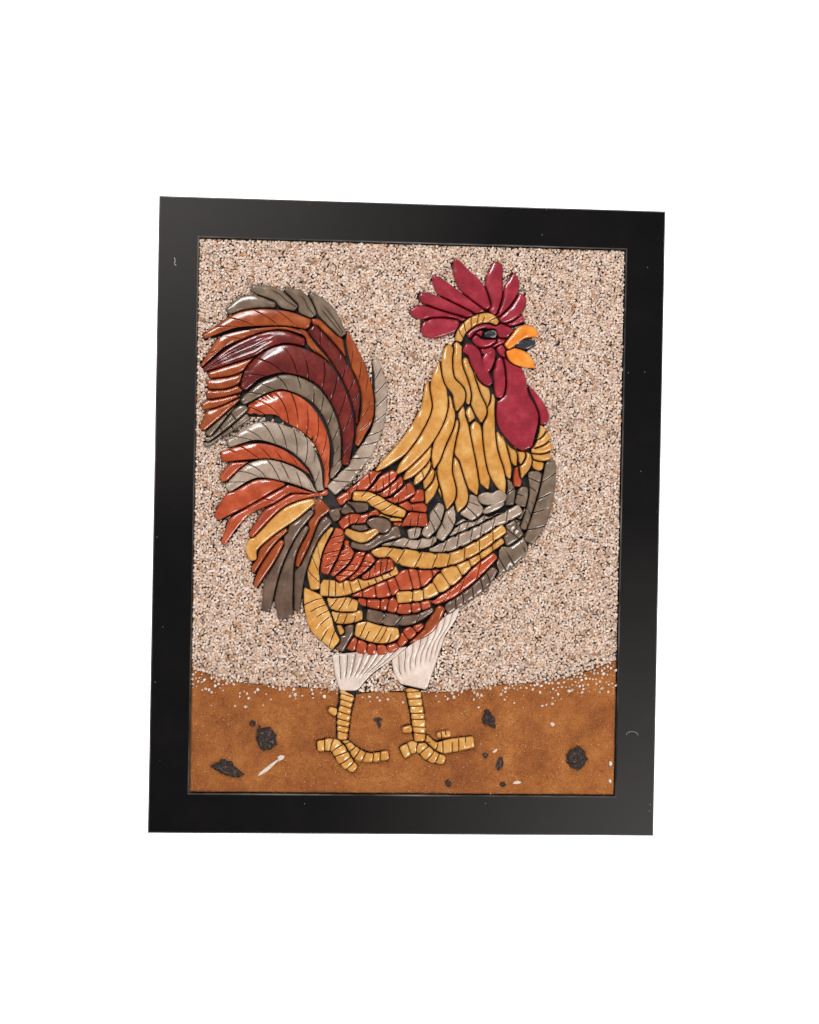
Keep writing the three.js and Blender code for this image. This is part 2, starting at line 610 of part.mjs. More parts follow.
lump('lava_lump_large', 76, 55, 21, 27, 0.3, 1);
lump('lava_lump_left', 37, 25, 33, 15, -0.3, 2);
lump('lava_lump_upper', 300, 77, 13, 20, 0.4, 3);
lump('lava_lump_right', 390, 38, 24, 24, 0, 4);

// A plain sheet that reaches a distance beyond the sight opening on every side, or stops short of it.
function sheet(reach, back, front) {
  const right = openWidth + reach;
  const high = openHeight + reach;
  return slab([[-reach, -reach], [right, -reach], [right, high], [-reach, high]], back, front, 0, false);
}

place('adhesive_bed', sheet(-bedClearance, bedBack, bedFront), '#140e0c', 0.8);
place('backing_board', sheet(lip - rabbetClearance, boardBack, boardFront), '#b58e62', 0.8);

// A rail lofted from its section between two mitres, as corners given by distance from the outer edge.
const rabbetFront = boardFront + bondGap;
const section = [[0, 0], [railWidth - lip, 0], [railWidth - lip, rabbetFront], [railWidth, rabbetFront],
  [railWidth, railDepth - arris], [railWidth - arris, railDepth], [arris, railDepth], [0, railDepth - arris]];

function rail(name, length, lay) {
  const points = [];
  for (const end of [-1, 1]) {
    for (const [inward, out] of section) {
      points.push([...lay(end * (length / 2 - inward - mitreGap / 2), inward), out]);
    }
  }
  const n = section.length;
  const faces = THREE.ShapeUtils.triangulateShape(section.map(([a, b]) => new THREE.Vector2(a, b)), []);
  const triangles = [];
  for (const [a, b, c] of faces) {
    triangles.push([a, b, c], [a + n, c + n, b + n]);
  }
  for (let i = 0; i < n; i += 1) {
    const j = (i + 1) % n;
    triangles.push([i, i + n, j + n], [i, j + n, j]);
  }
  const body = solid(points, triangles, false);
  const turned = triangles.map(([a, b, c]) => [a, c, b]);
  place(name, body.volume() > 0 ? body : solid(points, turned, false), '#1e1b19', 0.45);
}

const middle = [openWidth / 2, openHeight / 2];
const outerWidth = openWidth + 2 * railWidth;
const outerHeight = openHeight + 2 * railWidth;
rail('frame_rail_top', outerWidth, (s, inward) => [middle[0] + s, openHeight + railWidth - inward]);
rail('frame_rail_bottom', outerWidth, (s, inward) => [middle[0] - s, inward - railWidth]);
rail('frame_rail_left', outerHeight, (s, inward) => [inward - railWidth, middle[1] + s]);
rail('frame_rail_right', outerHeight, (s, inward) => [openWidth + railWidth - inward, middle[1] - s]);

export default group;
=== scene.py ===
import math
import random

import bmesh
import bpy
import numpy
from mathutils import Matrix, Vector, noise
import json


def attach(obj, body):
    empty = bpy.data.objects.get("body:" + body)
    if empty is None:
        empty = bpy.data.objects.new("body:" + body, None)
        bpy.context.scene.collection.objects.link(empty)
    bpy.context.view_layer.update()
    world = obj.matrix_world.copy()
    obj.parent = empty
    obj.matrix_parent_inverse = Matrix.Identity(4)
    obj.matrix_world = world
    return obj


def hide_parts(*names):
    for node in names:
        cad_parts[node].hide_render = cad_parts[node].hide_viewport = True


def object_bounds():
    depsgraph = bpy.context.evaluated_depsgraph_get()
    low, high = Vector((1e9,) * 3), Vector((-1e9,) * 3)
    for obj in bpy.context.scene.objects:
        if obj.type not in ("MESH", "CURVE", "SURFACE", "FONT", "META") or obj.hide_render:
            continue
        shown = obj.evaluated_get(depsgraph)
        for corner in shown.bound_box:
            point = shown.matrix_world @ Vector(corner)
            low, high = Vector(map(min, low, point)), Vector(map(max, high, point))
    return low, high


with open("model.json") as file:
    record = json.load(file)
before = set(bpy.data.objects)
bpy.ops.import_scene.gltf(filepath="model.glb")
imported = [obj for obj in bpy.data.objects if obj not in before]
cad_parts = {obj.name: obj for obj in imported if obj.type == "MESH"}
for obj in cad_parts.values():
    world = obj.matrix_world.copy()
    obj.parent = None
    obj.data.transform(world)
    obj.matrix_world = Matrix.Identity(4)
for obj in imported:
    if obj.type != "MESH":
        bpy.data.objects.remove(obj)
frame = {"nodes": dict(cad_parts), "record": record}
cad_low, cad_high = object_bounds()
scene = bpy.context.scene
slots = {part["node"]: part["material_slot"] for part in frame["record"]["subparts"]}

# Layout: the picture is drawn in millimetres, u to the right and v up from the lower left corner of the
# opening, and out from the wall. The origin lies over the middle of the opening, half-way up the top rail.
ORIGIN_U = 215
ORIGIN_V = 574


def metres(u, v, out):
    """The place of a layout point in the scene."""
    return (u - ORIGIN_U) / 1000, -out / 1000, (v - ORIGIN_V) / 1000


# Materials: a node tree is written as short lines, and colours are given as the hex of the real surface, save
# a few marked as painted shade, highlight or reflection.
def linear(code):
    """The linear colour of a hex code."""
    parts = [int(code[i:i + 2], 16) / 255 for i in (1, 3, 5)]
    return [p / 12.92 if p < 0.04045 else ((p + 0.055) / 1.055) ** 2.4 for p in parts] + [1.0]


def add(tree, kind, settings=None, **inputs):
    """Adds a node, sets its properties, and sets or links its inputs by name or number."""
    node = tree.nodes.new(kind)
    for key, value in (settings or {}).items():
        setattr(node, key, value)
    for key, value in inputs.items():
        socket = node.inputs[int(key[1:])] if key[0] == "_" else node.inputs[key.replace("_", " ")]
        if isinstance(value, bpy.types.NodeSocket):
            tree.links.new(value, socket)
        else:
            socket.default_value = value
    return node


def surface(name, roughness):
    """A material with its Principled shader and Object coordinates, in millimetres."""
    material = bpy.data.materials.new(name)
    material.use_nodes = True
    tree = material.node_tree
    shader = tree.nodes["Principled BSDF"]
    shader.inputs["Roughness"].default_value = roughness
    place = add(tree, "ShaderNodeTexCoord").outputs["Object"]
    millimetres = add(tree, "ShaderNodeVectorMath", {"operation": "SCALE"}, _0=place, Scale=1000.0)
    return material, tree, shader, millimetres.outputs[0]


def ramp(tree, value, stops):
    """A colour ramp through (position, hex) stops."""
    node = add(tree, "ShaderNodeValToRGB", Fac=value)
    band = node.color_ramp
    while len(band.elements) < len(stops):
        band.elements.new(0.5)
    for element, (position, code) in zip(band.elements, stops):
        element.position = position
        element.color = linear(code)
    return node.outputs[0]


def mottle(tree, place, scale, detail, rough=0.5):
    """A value that wanders from spot to spot."""
    node = add(tree, "ShaderNodeTexNoise", Vector=place, Scale=scale, Detail=detail, Roughness=rough)
    return node.outputs[0]


def cells_of(tree, place, scale):
    """The random colour and the distance to the middle of each of many small cells."""
    cells = add(tree, "ShaderNodeTexVoronoi", {"feature": "F1"}, Vector=place, Scale=scale)
    return cells.outputs["Color"], cells.outputs["Distance"]


def stored(tree, name):
    """A value stored with the points of the mesh."""
    return add(tree, "ShaderNodeAttribute", {"attribute_name": name}).outputs["Fac"]


def mix(tree, share, first, second, blend="MIX"):
    """Two colours mixed by a share."""
    kind = {"data_type": "RGBA", "blend_type": blend}
    return add(tree, "ShaderNodeMix", kind, _0=share, _6=first, _7=second).outputs[2]


def remap(tree, value, low, high, new_low, new_high):
    """A value carried from one range over to another."""
    return add(tree, "ShaderNodeMapRange", Value=value, _1=low, _2=high, _3=new_low, _4=new_high).outputs[0]


def bump(tree, shader, height, strength, distance, invert=False):
    """Gives a surface fine relief."""
    node = add(tree, "ShaderNodeBump", {"invert": invert}, Height=height, Strength=strength,
               Distance=distance)
    tree.links.new(node.outputs[0], shader.inputs["Normal"])


# Pieces: what each finished piece stands for, and how one is made from a CAD node or from its own points.
def ride_for(piece, slot, *nodes):
    """Puts a finished piece under the root body and hides the CAD nodes that it stands for."""
    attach(piece, "root")
    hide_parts(*nodes)


def finished(obj, name):
    """Makes an object's evaluated shape its own plain mesh."""
    bpy.context.view_layer.update()
    mesh = bpy.data.meshes.new_from_object(obj.evaluated_get(bpy.context.evaluated_depsgraph_get()))
    obj.modifiers.clear()
    obj.data = mesh
    obj.name = mesh.name = name
    return obj


def new_object(name, mesh):
    """An object of a mesh, put in the scene."""
    obj = bpy.data.objects.new(name, mesh)
    scene.collection.objects.link(obj)
    return obj


def copy_of(node, name):
    """A new object with the shape of a CAD node."""
    obj = new_object(name, frame["nodes"][node].data.copy())
    obj.data.materials.clear()
    for polygon in obj.data.polygons:
        polygon.use_smooth = True
    return obj


def mesh_of(name, shells):
    """One object of several closed shells of (u, v, out, cut) points, turned outward."""
    points = []
    faces = []
    cuts = []
    tints = []
    for corners, sides, tint in shells:
        faces += [tuple(len(points) + i for i in side) for side in sides]
        points += [metres(u, v, out) for u, v, out, _ in corners]
        cuts += [cut for *_, cut in corners]
        tints += [tint] * len(corners)
    mesh = bpy.data.meshes.new(name)
    mesh.from_pydata(points, [], faces)
    mesh.attributes.new("cut", "FLOAT", "POINT").data.foreach_set("value", cuts)
    mesh.attributes.new("tint", "FLOAT", "POINT").data.foreach_set("value", tints)
    shape = bmesh.new()
    shape.from_mesh(mesh)
    bmesh.ops.recalc_face_normals(shape, faces=shape.faces)
    for face in shape.faces:
        face.smooth = len(face.verts) == 4
    shape.to_mesh(mesh)
    shape.free()
    return new_object(name, mesh)


def skin(rings):
    """The points of rings of equal count, and the faces between them and over both ends."""
    count = len(rings[0])
    points = [point for ring in rings for point in ring]
    faces = [(i * count + j, i * count + (j + 1) % count, (i + 1) * count + (j + 1) % count,
              (i + 1) * count + j) for i in range(len(rings) - 1) for j in range(count)]
    faces += [tuple(range(count)), tuple(range(len(points) - count, len(points)))]
    return points, faces


# Clay pieces: hand-cut strips and tiles of fired clay with rounded edges, knife-scored lines and a glossy
# glaze. They are bedded in black adhesive, which shows as a dark line round each of them. Their sides are
# painted near black a little way down, and so are the scored lines: partly the black adhesive, partly painted
# shade of the seams and cuts. The face and the underside are given from the wall. A piece swells over its
# drawn width, its edges and corners are rounded, and its face is crowned.
CLAY_TOP = 23.5
CLAY_BASE = 15.8
SWELL = 2.6
EDGE_ROUND = 1.8
CORNER_ROUND = 2.2
CROWN = 0.85
SIDE_DROP = 1.6
LEAST_THICK = 2.0

# Neighbours leave a dark seam, found by probing a width in small steps. Where a piece gets slimmer than this
# half width it sinks out of sight, and it is never thinner than the least one.
SEAM = 1.05
PROBE = 0.4
SLIM = 0.9
THINNEST = 0.3
SLIM_SINK = 5.0

# Scored lines have a depth, and lean less near the ends of a piece. The start of a piece dips over a length.
# The notch between two tiles of a row has a reach and a depth.
CUT_DEEP = 1.5
LEAN_FADE = 7.0
DIP_REACH = 20.0
NOTCH_REACH = 3.2
NOTCH_DEEP = 0.8

# Where the points of a piece lie: from its ends, across a scored line with the line's share of depth, from
# its long edges, and beside a line scored lengthwise.
END_STATIONS = (0.04, 0.3, 0.8, 1.5, 2.4)
CUT_STATIONS = ((-0.75, 0.0), (-0.42, 0.6), (-0.15, 1.0), (0.15, 1.0), (0.42, 0.6), (0.75, 0.0))
EDGE_COLUMNS = (0.0, 0.25, 0.7, 1.3, 2.0)
LINE_COLUMNS = (-0.65, -0.35, 0.0, 0.35, 0.65)
stations_apart = 1.7


def clay_material(name, base, light, dark):
    """Mottled glaze with small flecks under a clear glossy coat, painted near black in the scored lines and
    down the sides: partly the black adhesive, partly painted shade.
    """
    material, tree, shader, place = surface(name, 0.3)
    shader.inputs["Coat Weight"].default_value = 1.0
    shader.inputs["Coat Roughness"].default_value = 0.14
    shader.inputs["Specular IOR Level"].default_value = 0.1
    cloud = mottle(tree, place, 0.07, 5.0, 0.62)
    tone = ramp(tree, cloud, [(0.32, dark), (0.5, base), (0.66, light)])
    own = add(tree, "ShaderNodeHueSaturation", Color=tone, Value=stored(tree, "tint")).outputs[0]
    fleck = mottle(tree, place, 0.75, 2.0)
    flecks = ramp(tree, fleck, [(0.26, "#7a6c62"), (0.36, "#ffffff"), (1.0, "#ffffff")])
    flecked = mix(tree, 0.6, own, flecks, "MULTIPLY")
    # Near black where the stored cut share is high, in the scored lines and down the sides: partly adhesive,
    # partly painted shade.
    adhesive_and_painted_shade = remap(tree, stored(tree, "cut"), 0.42, 0.8, 0.0, 1.0)
    tree.links.new(mix(tree, adhesive_and_painted_shade, flecked, linear("#17100c")), shader.inputs["Base Color"])
    tree.links.new(remap(tree, cloud, 0.3, 0.7, 0.24, 0.42), shader.inputs["Roughness"])
    bump(tree, shader, mottle(tree, place, 0.22, 3.0), 0.3, 0.0005)
    return material


clays = {
    "crimson_clay": clay_material("crimson glazed clay", "#8b1a2b", "#9d2a37", "#791624"),
    "ochre_clay": clay_material("ochre glazed clay", "#c38a42", "#ce9e5c", "#b4772f"),
    "terracotta_clay": clay_material("terracotta glazed clay", "#a5421e", "#b45532", "#943515"),
    "rust_clay": clay_material("rust-brown glazed clay", "#8f3e11", "#9d4c1d", "#7d320b"),
    "maroon_clay": clay_material("dark maroon glazed clay", "#5d1109", "#701b0f", "#4c0b06"),
    "pale_clay": clay_material("pale grey glazed clay", "#998473", "#aa9685", "#867261"),
    "taupe_clay": clay_material("taupe glazed clay", "#6b5847", "#7c6857", "#5b493a"),
    "slate_clay": clay_material("dark slate-grey glazed clay", "#624b3d", "#755b4b", "#513e32"),
    "cream_clay": clay_material("cream glazed clay", "#d1bcae", "#dbc9bd", "#c2aa9a"),
    "orange_clay": clay_material("bright orange glazed clay", "#df8127", "#ea9840", "#cc6d17"),
    "dark_clay": clay_material("near-black glazed clay", "#2b2c30", "#3a3b40", "#1e1f22"),
}


def smooth_curve(points, steps=16):
    """Dense points of the smooth curve through the given ones (centripetal Catmull-Rom)."""
    points = [Vector(p) for p in points]
    chain = [2 * points[0] - points[1], *points, 2 * points[-1] - points[-2]]
    dense = []
    for a, b, c, d in zip(chain, chain[1:], chain[2:], chain[3:]):
        t0 = 0.0
        t1 = max(0.01, (b - a).length) ** 0.5
        t2 = t1 + max(0.01, (c - b).length) ** 0.5
        t3 = t2 + max(0.01, (d - c).length) ** 0.5
        for step in range(steps):
            t = t1 + (t2 - t1) * step / steps
            ab = a + (b - a) * ((t - t0) / (t1 - t0))
            bc = b + (c - b) * ((t - t1) / (t2 - t1))
            cd = c + (d - c) * ((t - t2) / (t3 - t2))
            abc = ab + (bc - ab) * ((t - t0) / (t2 - t0))
            bcd = bc + (cd - bc) * ((t - t1) / (t3 - t1))
            dense.append(abc + (bcd - abc) * ((t - t1) / (t2 - t1)))
    return [*dense, points[-1]]


def run_along(path):
    """The length along a path at each of its points."""
    run = [0.0]
    for a, b in zip(path, path[1:]):
        run.append(run[-1] + math.hypot(b[0] - a[0], b[1] - a[1]))
    return run


def edge_drop(distance):
    """How far the face of a piece has fallen away at a distance from its edge."""
    short = max(0.0, EDGE_ROUND - distance)
    return EDGE_ROUND - math.sqrt(max(0.0, EDGE_ROUND ** 2 - short ** 2))


taken = numpy.zeros((0, 3))


def take(rows):
    """Notes round spots (u, v, reach) as covered by a piece that is laid."""
    global taken
    taken = numpy.vstack([taken, numpy.array(rows)])


def longest_clear(steps, free):
    """The first and last step of the longest run of free ones."""
    best = (0.0, 0.0)
    start = None
    for k, clear in enumerate([*free, False]):
        if clear and start is None:
            start = steps[k]
        elif not clear and start is not None:
            if steps[k - 1] - start > best[1] - best[0]:
                best = (start, steps[k - 1])
            start = None
    return best


def cut_back(spine):
    """The spine narrowed where earlier pieces lie, so that an even dark seam stays between neighbours. A
    last value in each row says how far the face sinks where hardly any width is left."""
    rows = numpy.array(spine)
    widest = rows[:, 4].max()
    low = rows[:, :2].min(axis=0) - widest - SEAM
    high = rows[:, :2].max(axis=0) + widest + SEAM
    near = taken[((taken[:, :2] + taken[:, 2:] > low) & (taken[:, :2] - taken[:, 2:] < high)).all(axis=1)]
    limits = []
    for u, v, du, dv, half in rows:
        steps = numpy.linspace(-half, half, max(5, int(2 * half / PROBE)))
        across = u + du * steps
        upward = v + dv * steps
        apart = numpy.hypot(across[:, None] - near[None, :, 0], upward[:, None] - near[None, :, 1])
        limits.append(longest_clear(steps, (apart > near[None, :, 2] + SEAM).all(axis=1)))
    result = []
    for i, (u, v, du, dv, _) in enumerate(rows):
        around = limits[max(0, i - 1):min(len(limits), i + 2)]
        left = sum(pair[0] for pair in around) / len(around)
        right = sum(pair[1] for pair in around) / len(around)
        half = max(THINNEST, (right - left) / 2)
        shift = (left + right) / 2
        result.append((u + du * shift, v + dv * shift, du, dv, half, SLIM_SINK * max(0.0, 1 - half / SLIM)))
    return result


def row_at(spine, run, s):
    """The spine's row at a length, blended between the two rows around it."""
    low = 0
    high = len(run) - 1
    while high - low > 1:
        middle = (low + high) // 2
        if run[middle] <= s:
            low = middle
        else:
            high = middle
    f = min(1.0, max(0.0, (s - run[low]) / max(1e-6, run[high] - run[low])))
    return [p + (q - p) * f for p, q in zip(spine[low], spine[high])]


def marks_across(chance, length, cuts, scallop):
    """The place of each knife cut along a piece, the side it starts from and how far over it reaches."""
    marks = []
    for k in range(cuts):
        place = length * (k + 1 + chance.uniform(-0.16, 0.16)) / (cuts + 1)
        side = chance.choice((-1, 1))
        reach = 1.1 if scallop or chance.random() < 0.55 else chance.uniform(0.0, 0.7)
        marks.append((place, side, reach))
        # One draw is passed over after each mark: the lines lie as they do because of it.
        chance.random()
    return marks


def stations_along(length, marks):
    """The lengths where a piece has a ring of points, each with the mark it belongs to and its depth."""
    stations = [(s, None, 0.0) for s in END_STATIONS] + [(length - s, None, 0.0) for s in END_STATIONS]
    stations += [(place + off, k, deep) for k, (place, *_) in enumerate(marks) for off, deep in CUT_STATIONS]
    count = max(2, round(length / stations_apart))
    for i in range(count):
        s = END_STATIONS[-1] + (length - 2 * END_STATIONS[-1]) * (i + 0.5) / count
        if all(abs(s - place) > 1.0 for place, *_ in marks):
            stations.append((s, None, 0.0))
    return sorted(station for station in stations if 0 < station[0] < length)


def spots_across(lines, half):
    """The points across a ring: how far each lies from the middle, with its share of the half width and its
    offset from there."""
    columns = [(-1, d) for d in EDGE_COLUMNS] + [(1, -d) for d in EDGE_COLUMNS]
    columns += [(share, off) for share in lines for off in LINE_COLUMNS]
    if not lines:
        columns += [(-0.4, 0.0), (0.0, 0.0), (0.4, 0.0)]
    spots = []
    for share, off in columns:
        x = share * half + off
        if share == -1 and off:
            x = min(x, -0.42 * half)
        elif share == 1 and off:
            x = max(x, 0.42 * half)
        spots.append((x, share, off))
    return sorted(spots)


def band(spine, cuts=0, slant=0.0, scallop=0.0, lines=(), dip=0.0, under=0.0):
    """One piece of clay along a spine of (u, v, across u, across v, half width) rows. It has `cuts` scored
    across it, leaning by `slant`, or narrows and dips at them by `scallop` as a row of tiles does. `lines`
    are scored along it, at shares of its half width. Its start dips by `dip` to go under what lies above
    it. A piece with `under` isn't cut back: it sinks by that much to lie under its neighbours' edges."""
    spine = [(*row, under) for row in spine] if under else cut_back(spine)
    run = run_along(spine)
    length = run[-1]
    take([(row[0], row[1], min(row[4], 0.6 + min(s, length - s))) for row, s in zip(spine, run)
          if row[4] > SLIM])
    chance = random.Random(round(spine[0][0] * 7 + spine[0][1] * 13 + length))
    lift = chance.uniform(-0.45, 0.1)
    tint = chance.uniform(0.92, 1.06)
    marks = marks_across(chance, length, cuts, scallop)
    lean_fade = min(length / 2, max(LEAN_FADE, 1.4 * abs(slant)))

    def face_point(s, mark, deep, half0, x, share, off):
        """A point (u, v, out, cut) of the glazed face."""
        fade = min(1.0, s / lean_fade, (length - s) / lean_fade)
        s2 = min(length, max(0.0, s + slant * (x / half0) * fade))
        u, v, du, dv, half, sink = row_at(spine, run, s2)
        x = max(-half, min(half, x))
        end = min(s2, length - s2)
        corner = min(half * 0.9, CORNER_ROUND)
        short = max(0.0, corner - end)
        trimmed = max(0.15, half - corner + math.sqrt(max(0.0, corner ** 2 - short ** 2)))
        notch = 0.0
        if scallop and marks:
            notch = max(0.0, 1 - min(abs(s2 - place) for place, *_ in marks) / NOTCH_REACH) ** 2
        trimmed *= 1 - scallop * notch
        x *= trimmed / half
        cut = 0.0
        if mark is not None:
            _, side, reach = marks[mark]
            cut = deep * min(1.0, max(0.0, (reach - side * x / half) * 4))
        if share in lines and abs(off) < 0.6 and 0.3 * length < s < length - 1.0:
            cut = max(cut, (1.0 if off == 0 else 0.5) * min(1.0, (s / length - 0.3) * 6))
        drop = min(EDGE_ROUND, edge_drop(trimmed - abs(x)) + edge_drop(end))
        wave = 0.5 * noise.noise(Vector((u / 11, v / 11, x / 12)))
        lost = drop + sink + dip * max(0.0, 1 - s2 / DIP_REACH) ** 2 + NOTCH_DEEP * notch + CUT_DEEP * cut
        out = CLAY_TOP + lift + wave + CROWN * (1 - (x / half) ** 2) - lost
        return u + du * x, v + dv * x, max(out, CLAY_BASE + LEAST_THICK), max(cut, 0.35 * drop / EDGE_ROUND)

    rings = []
    for s, mark, deep in stations_along(length, marks):
        half0 = row_at(spine, run, s)[4]
        ring = [face_point(s, mark, deep, half0, *spot) for spot in spots_across(lines, half0)]
        (u0, v0, out0, _), (u1, v1, out1, _) = ring[0], ring[-1]
        # The sides and the foot carry a high cut share, so they are painted near black: partly adhesive,
        # partly painted shade.
        rings.append([(u0, v0, CLAY_BASE, 1.0), (u0, v0, out0 - SIDE_DROP, 0.9), *ring,
                      (u1, v1, out1 - SIDE_DROP, 0.9), (u1, v1, CLAY_BASE, 1.0)])
    return *skin(rings), tint


def strip(path, taper=(0, 0), **scoring):
    """A strip of clay along a smooth curve of (u, v, width) points, drawn to a point over a length in
    millimetres at its start and its end."""
    curve = smooth_curve(path)
    run = run_along(curve)
    spine = []
    for i, point in enumerate(curve):
        before = curve[max(0, i - 1)]
        after = curve[min(len(curve) - 1, i + 1)]
        across = Vector((before.y - after.y, after.x - before.x)).normalized()
        half = (point.z + SWELL) / 2
        for reach, gone in zip(taper, (run[i], run[-1] - run[i])):
            if gone < reach:
                half *= 0.25 + 0.75 * math.sin(math.pi / 2 * gone / reach)
        spine.append((point.x, point.y, across.x, across.y, max(SLIM, half)))
    return band(spine, **scoring)


def strand(path, **scoring):
    """A hackle strand: drawn to a point at both ends, with its start tucked under the row above it."""
    return strip(path, taper=(5, 11), dip=2.8, **scoring)


def loft(left, right, **scoring):
    """A piece of clay between two smooth sides that start and end together."""
    sides = [smooth_curve([(*p, 0) for p in side]) for side in (left, right)]
    spine = []
    for i in range(41):
        a, b = (side[round(i / 40 * (len(side) - 1))] for side in sides)
        across = (a - b) / 2
        middle = (a + b) / 2
        half = max(SLIM, across.length + SWELL / 2)
        across.normalize()
        spine.append((middle.x, middle.y, across.x, across.y, half))
    return band(spine, **scoring)


def pebble(corners):
    """A small tile with a soft outline and a domed face."""
    outline = [Vector(p) for p in corners]
    for _ in range(3):
        outline = [spot for a, b in zip(outline, outline[1:] + outline[:1])
                   for spot in (a * 0.75 + b * 0.25, a * 0.25 + b * 0.75)]
    middle = sum(outline, Vector((0, 0))) / len(outline)
    take([((p.x + middle.x) / 2, (p.y + middle.y) / 2, (p - middle).length / 2 + SWELL / 4) for p in outline])
    reach = sum((p - middle).length for p in outline) / len(outline)
    grown = (reach + SWELL / 2) / reach
    rings = []
    for inset in (*EDGE_COLUMNS, reach * 0.6, reach * 0.85):
        share = max(0.05, 1 - inset / reach) * grown
        top = CLAY_TOP - 0.2 - edge_drop(inset) + CROWN * min(1.0, inset / reach)
        rings.append([(*(middle + (p - middle) * share), top, 0.35 * edge_drop(inset) / EDGE_ROUND)
                      for p in outline])
    # The foot and the sides carry a high cut share, so they are painted near black: partly adhesive, partly
    # painted shade.
    base = [(u, v, CLAY_BASE, 1.0) for u, v, _, _ in rings[0]]
    foot = [(u, v, out - SIDE_DROP, 0.9) for u, v, out, _ in rings[0]]
    return *skin([base, foot, *rings]), random.Random(round(middle.x)).uniform(0.94, 1.06)


def relief(node, shells):
    """The clay of one CAD node."""
    piece = mesh_of(node + "_clay", shells)
    piece.data.materials.append(clays[slots[node]])
    ride_for(piece, slots[node], node)


# Beak, the dark stone between its halves, and the eye with its pale ring. The scored crown band is laid
# before the comb and the face, which stop short of it.
crown_band = strip([(261, 457, 5), (264, 466, 6), (271, 474, 7), (282, 480, 7), (293, 481, 7), (301, 476, 3)],
                   cuts=6, slant=3)
relief("beak_upper", [
    strip([(310, 452, 5), (318, 460, 8), (327, 468, 11), (335, 468, 9), (343, 463, 2)], taper=(0, 7)),
])
relief("beak_lower", [
    strip([(312, 450, 5), (319, 444, 13), (328, 440, 13), (340, 432, 2)], taper=(0, 8)),
])
relief("mouth_stone", [pebble([(318, 455), (326, 460), (338, 459), (338, 455), (329, 450)])])
relief("eye", [strip([(287, 464, 2), (294, 465, 6), (299, 465, 4)])])


def hoop(u, v, out, reach, thick):
    """A thin ring, closed."""
    around = 28
    sides = 6
    points = []
    for i in range(around):
        turn = i * math.tau / around
        for j in range(sides):
            roll = j * math.tau / sides
            away = reach + thick * math.cos(roll)
            rise = thick * math.sin(roll)
            points.append((u + away * math.cos(turn), v + away * math.sin(turn), out + rise, 0.0))
    faces = [(i * sides + j, i * sides + (j + 1) % sides, (i + 1) % around * sides + (j + 1) % sides,
              (i + 1) % around * sides + j) for i in range(around) for j in range(sides)]
    return points, faces, 1.0


eye_ring = mesh_of("eye_ring", [hoop(296, 465, out=23.6, reach=3.1, thick=0.45)])
eye_ring.data.materials.append(clay_material("pale ring of the eye", "#9fa08c", "#b9b9a6", "#86877a"))
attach(eye_ring, "root")

# Face: rolled strips of clay round the eye and down the cheek.
relief("face", [
    strip([(270, 462, 4), (278, 472, 6), (290, 475, 6), (303, 469, 11), (317, 466, 6)]),
    strip([(277, 462, 5), (283, 456, 6), (291, 456, 5), (298, 461, 5)]),
    strip([(294, 454, 4), (303, 459, 6), (312, 463, 6)]),
    strip([(274, 460, 4), (280, 465, 7), (286, 467, 5)], taper=(3, 4)),
    strip([(303, 456, 4), (306, 449, 8), (313, 445, 7)]),
    strip([(267, 451, 7), (276, 447, 10), (281, 434, 9), (289, 421, 9), (295, 414, 4)]),
    strip([(282, 453, 3), (287, 449, 6), (296, 449, 5)]),
    pebble([(297, 450), (299, 443), (295, 431), (291, 427), (287, 433), (286, 441), (292, 448)]),
    strip([(302, 442, 5), (303, 428, 9), (304, 412, 9), (304, 401, 4)]),
])

# Wattle: one long lobe with a second behind it.
relief("wattle", [
    strip([(312, 442, 10), (318, 424, 20), (318, 402, 30), (323, 380, 40), (328, 362, 26), (333, 350, 9)]),
    strip([(332, 412, 4), (340, 398, 11), (347, 384, 13), (348, 375, 7)]),
])

# Comb: lobes that fan out from the crown.
relief("comb", [
    strip([(224, 471, 8), (233, 469, 17), (246, 471, 15), (262, 473, 8)]),
    strip([(212, 485, 4), (223, 485, 12), (240, 482, 9), (268, 476, 6)]),
    strip([(221, 503, 6), (236, 495, 13), (252, 487, 15), (276, 479, 9)], taper=(4, 0)),
    strip([(234, 523, 2), (245, 509, 14), (262, 494, 18), (284, 482, 12)], taper=(7, 0)),
    strip([(256, 540, 3), (263, 525, 14), (275, 508, 22), (286, 488, 15)], taper=(7, 0)),
    strip([(300, 537, 8), (297, 524, 13), (295, 505, 17), (293, 484, 9)]),
    strip([(317, 527, 3), (315, 514, 12), (307, 500, 14), (297, 484, 6)], taper=(5, 0)),
    strip([(325, 506, 7), (319, 495, 17), (306, 485, 16), (298, 482, 5)]),
    strip([(300, 478, 5), (312, 479, 9), (327, 483, 7)]),
])

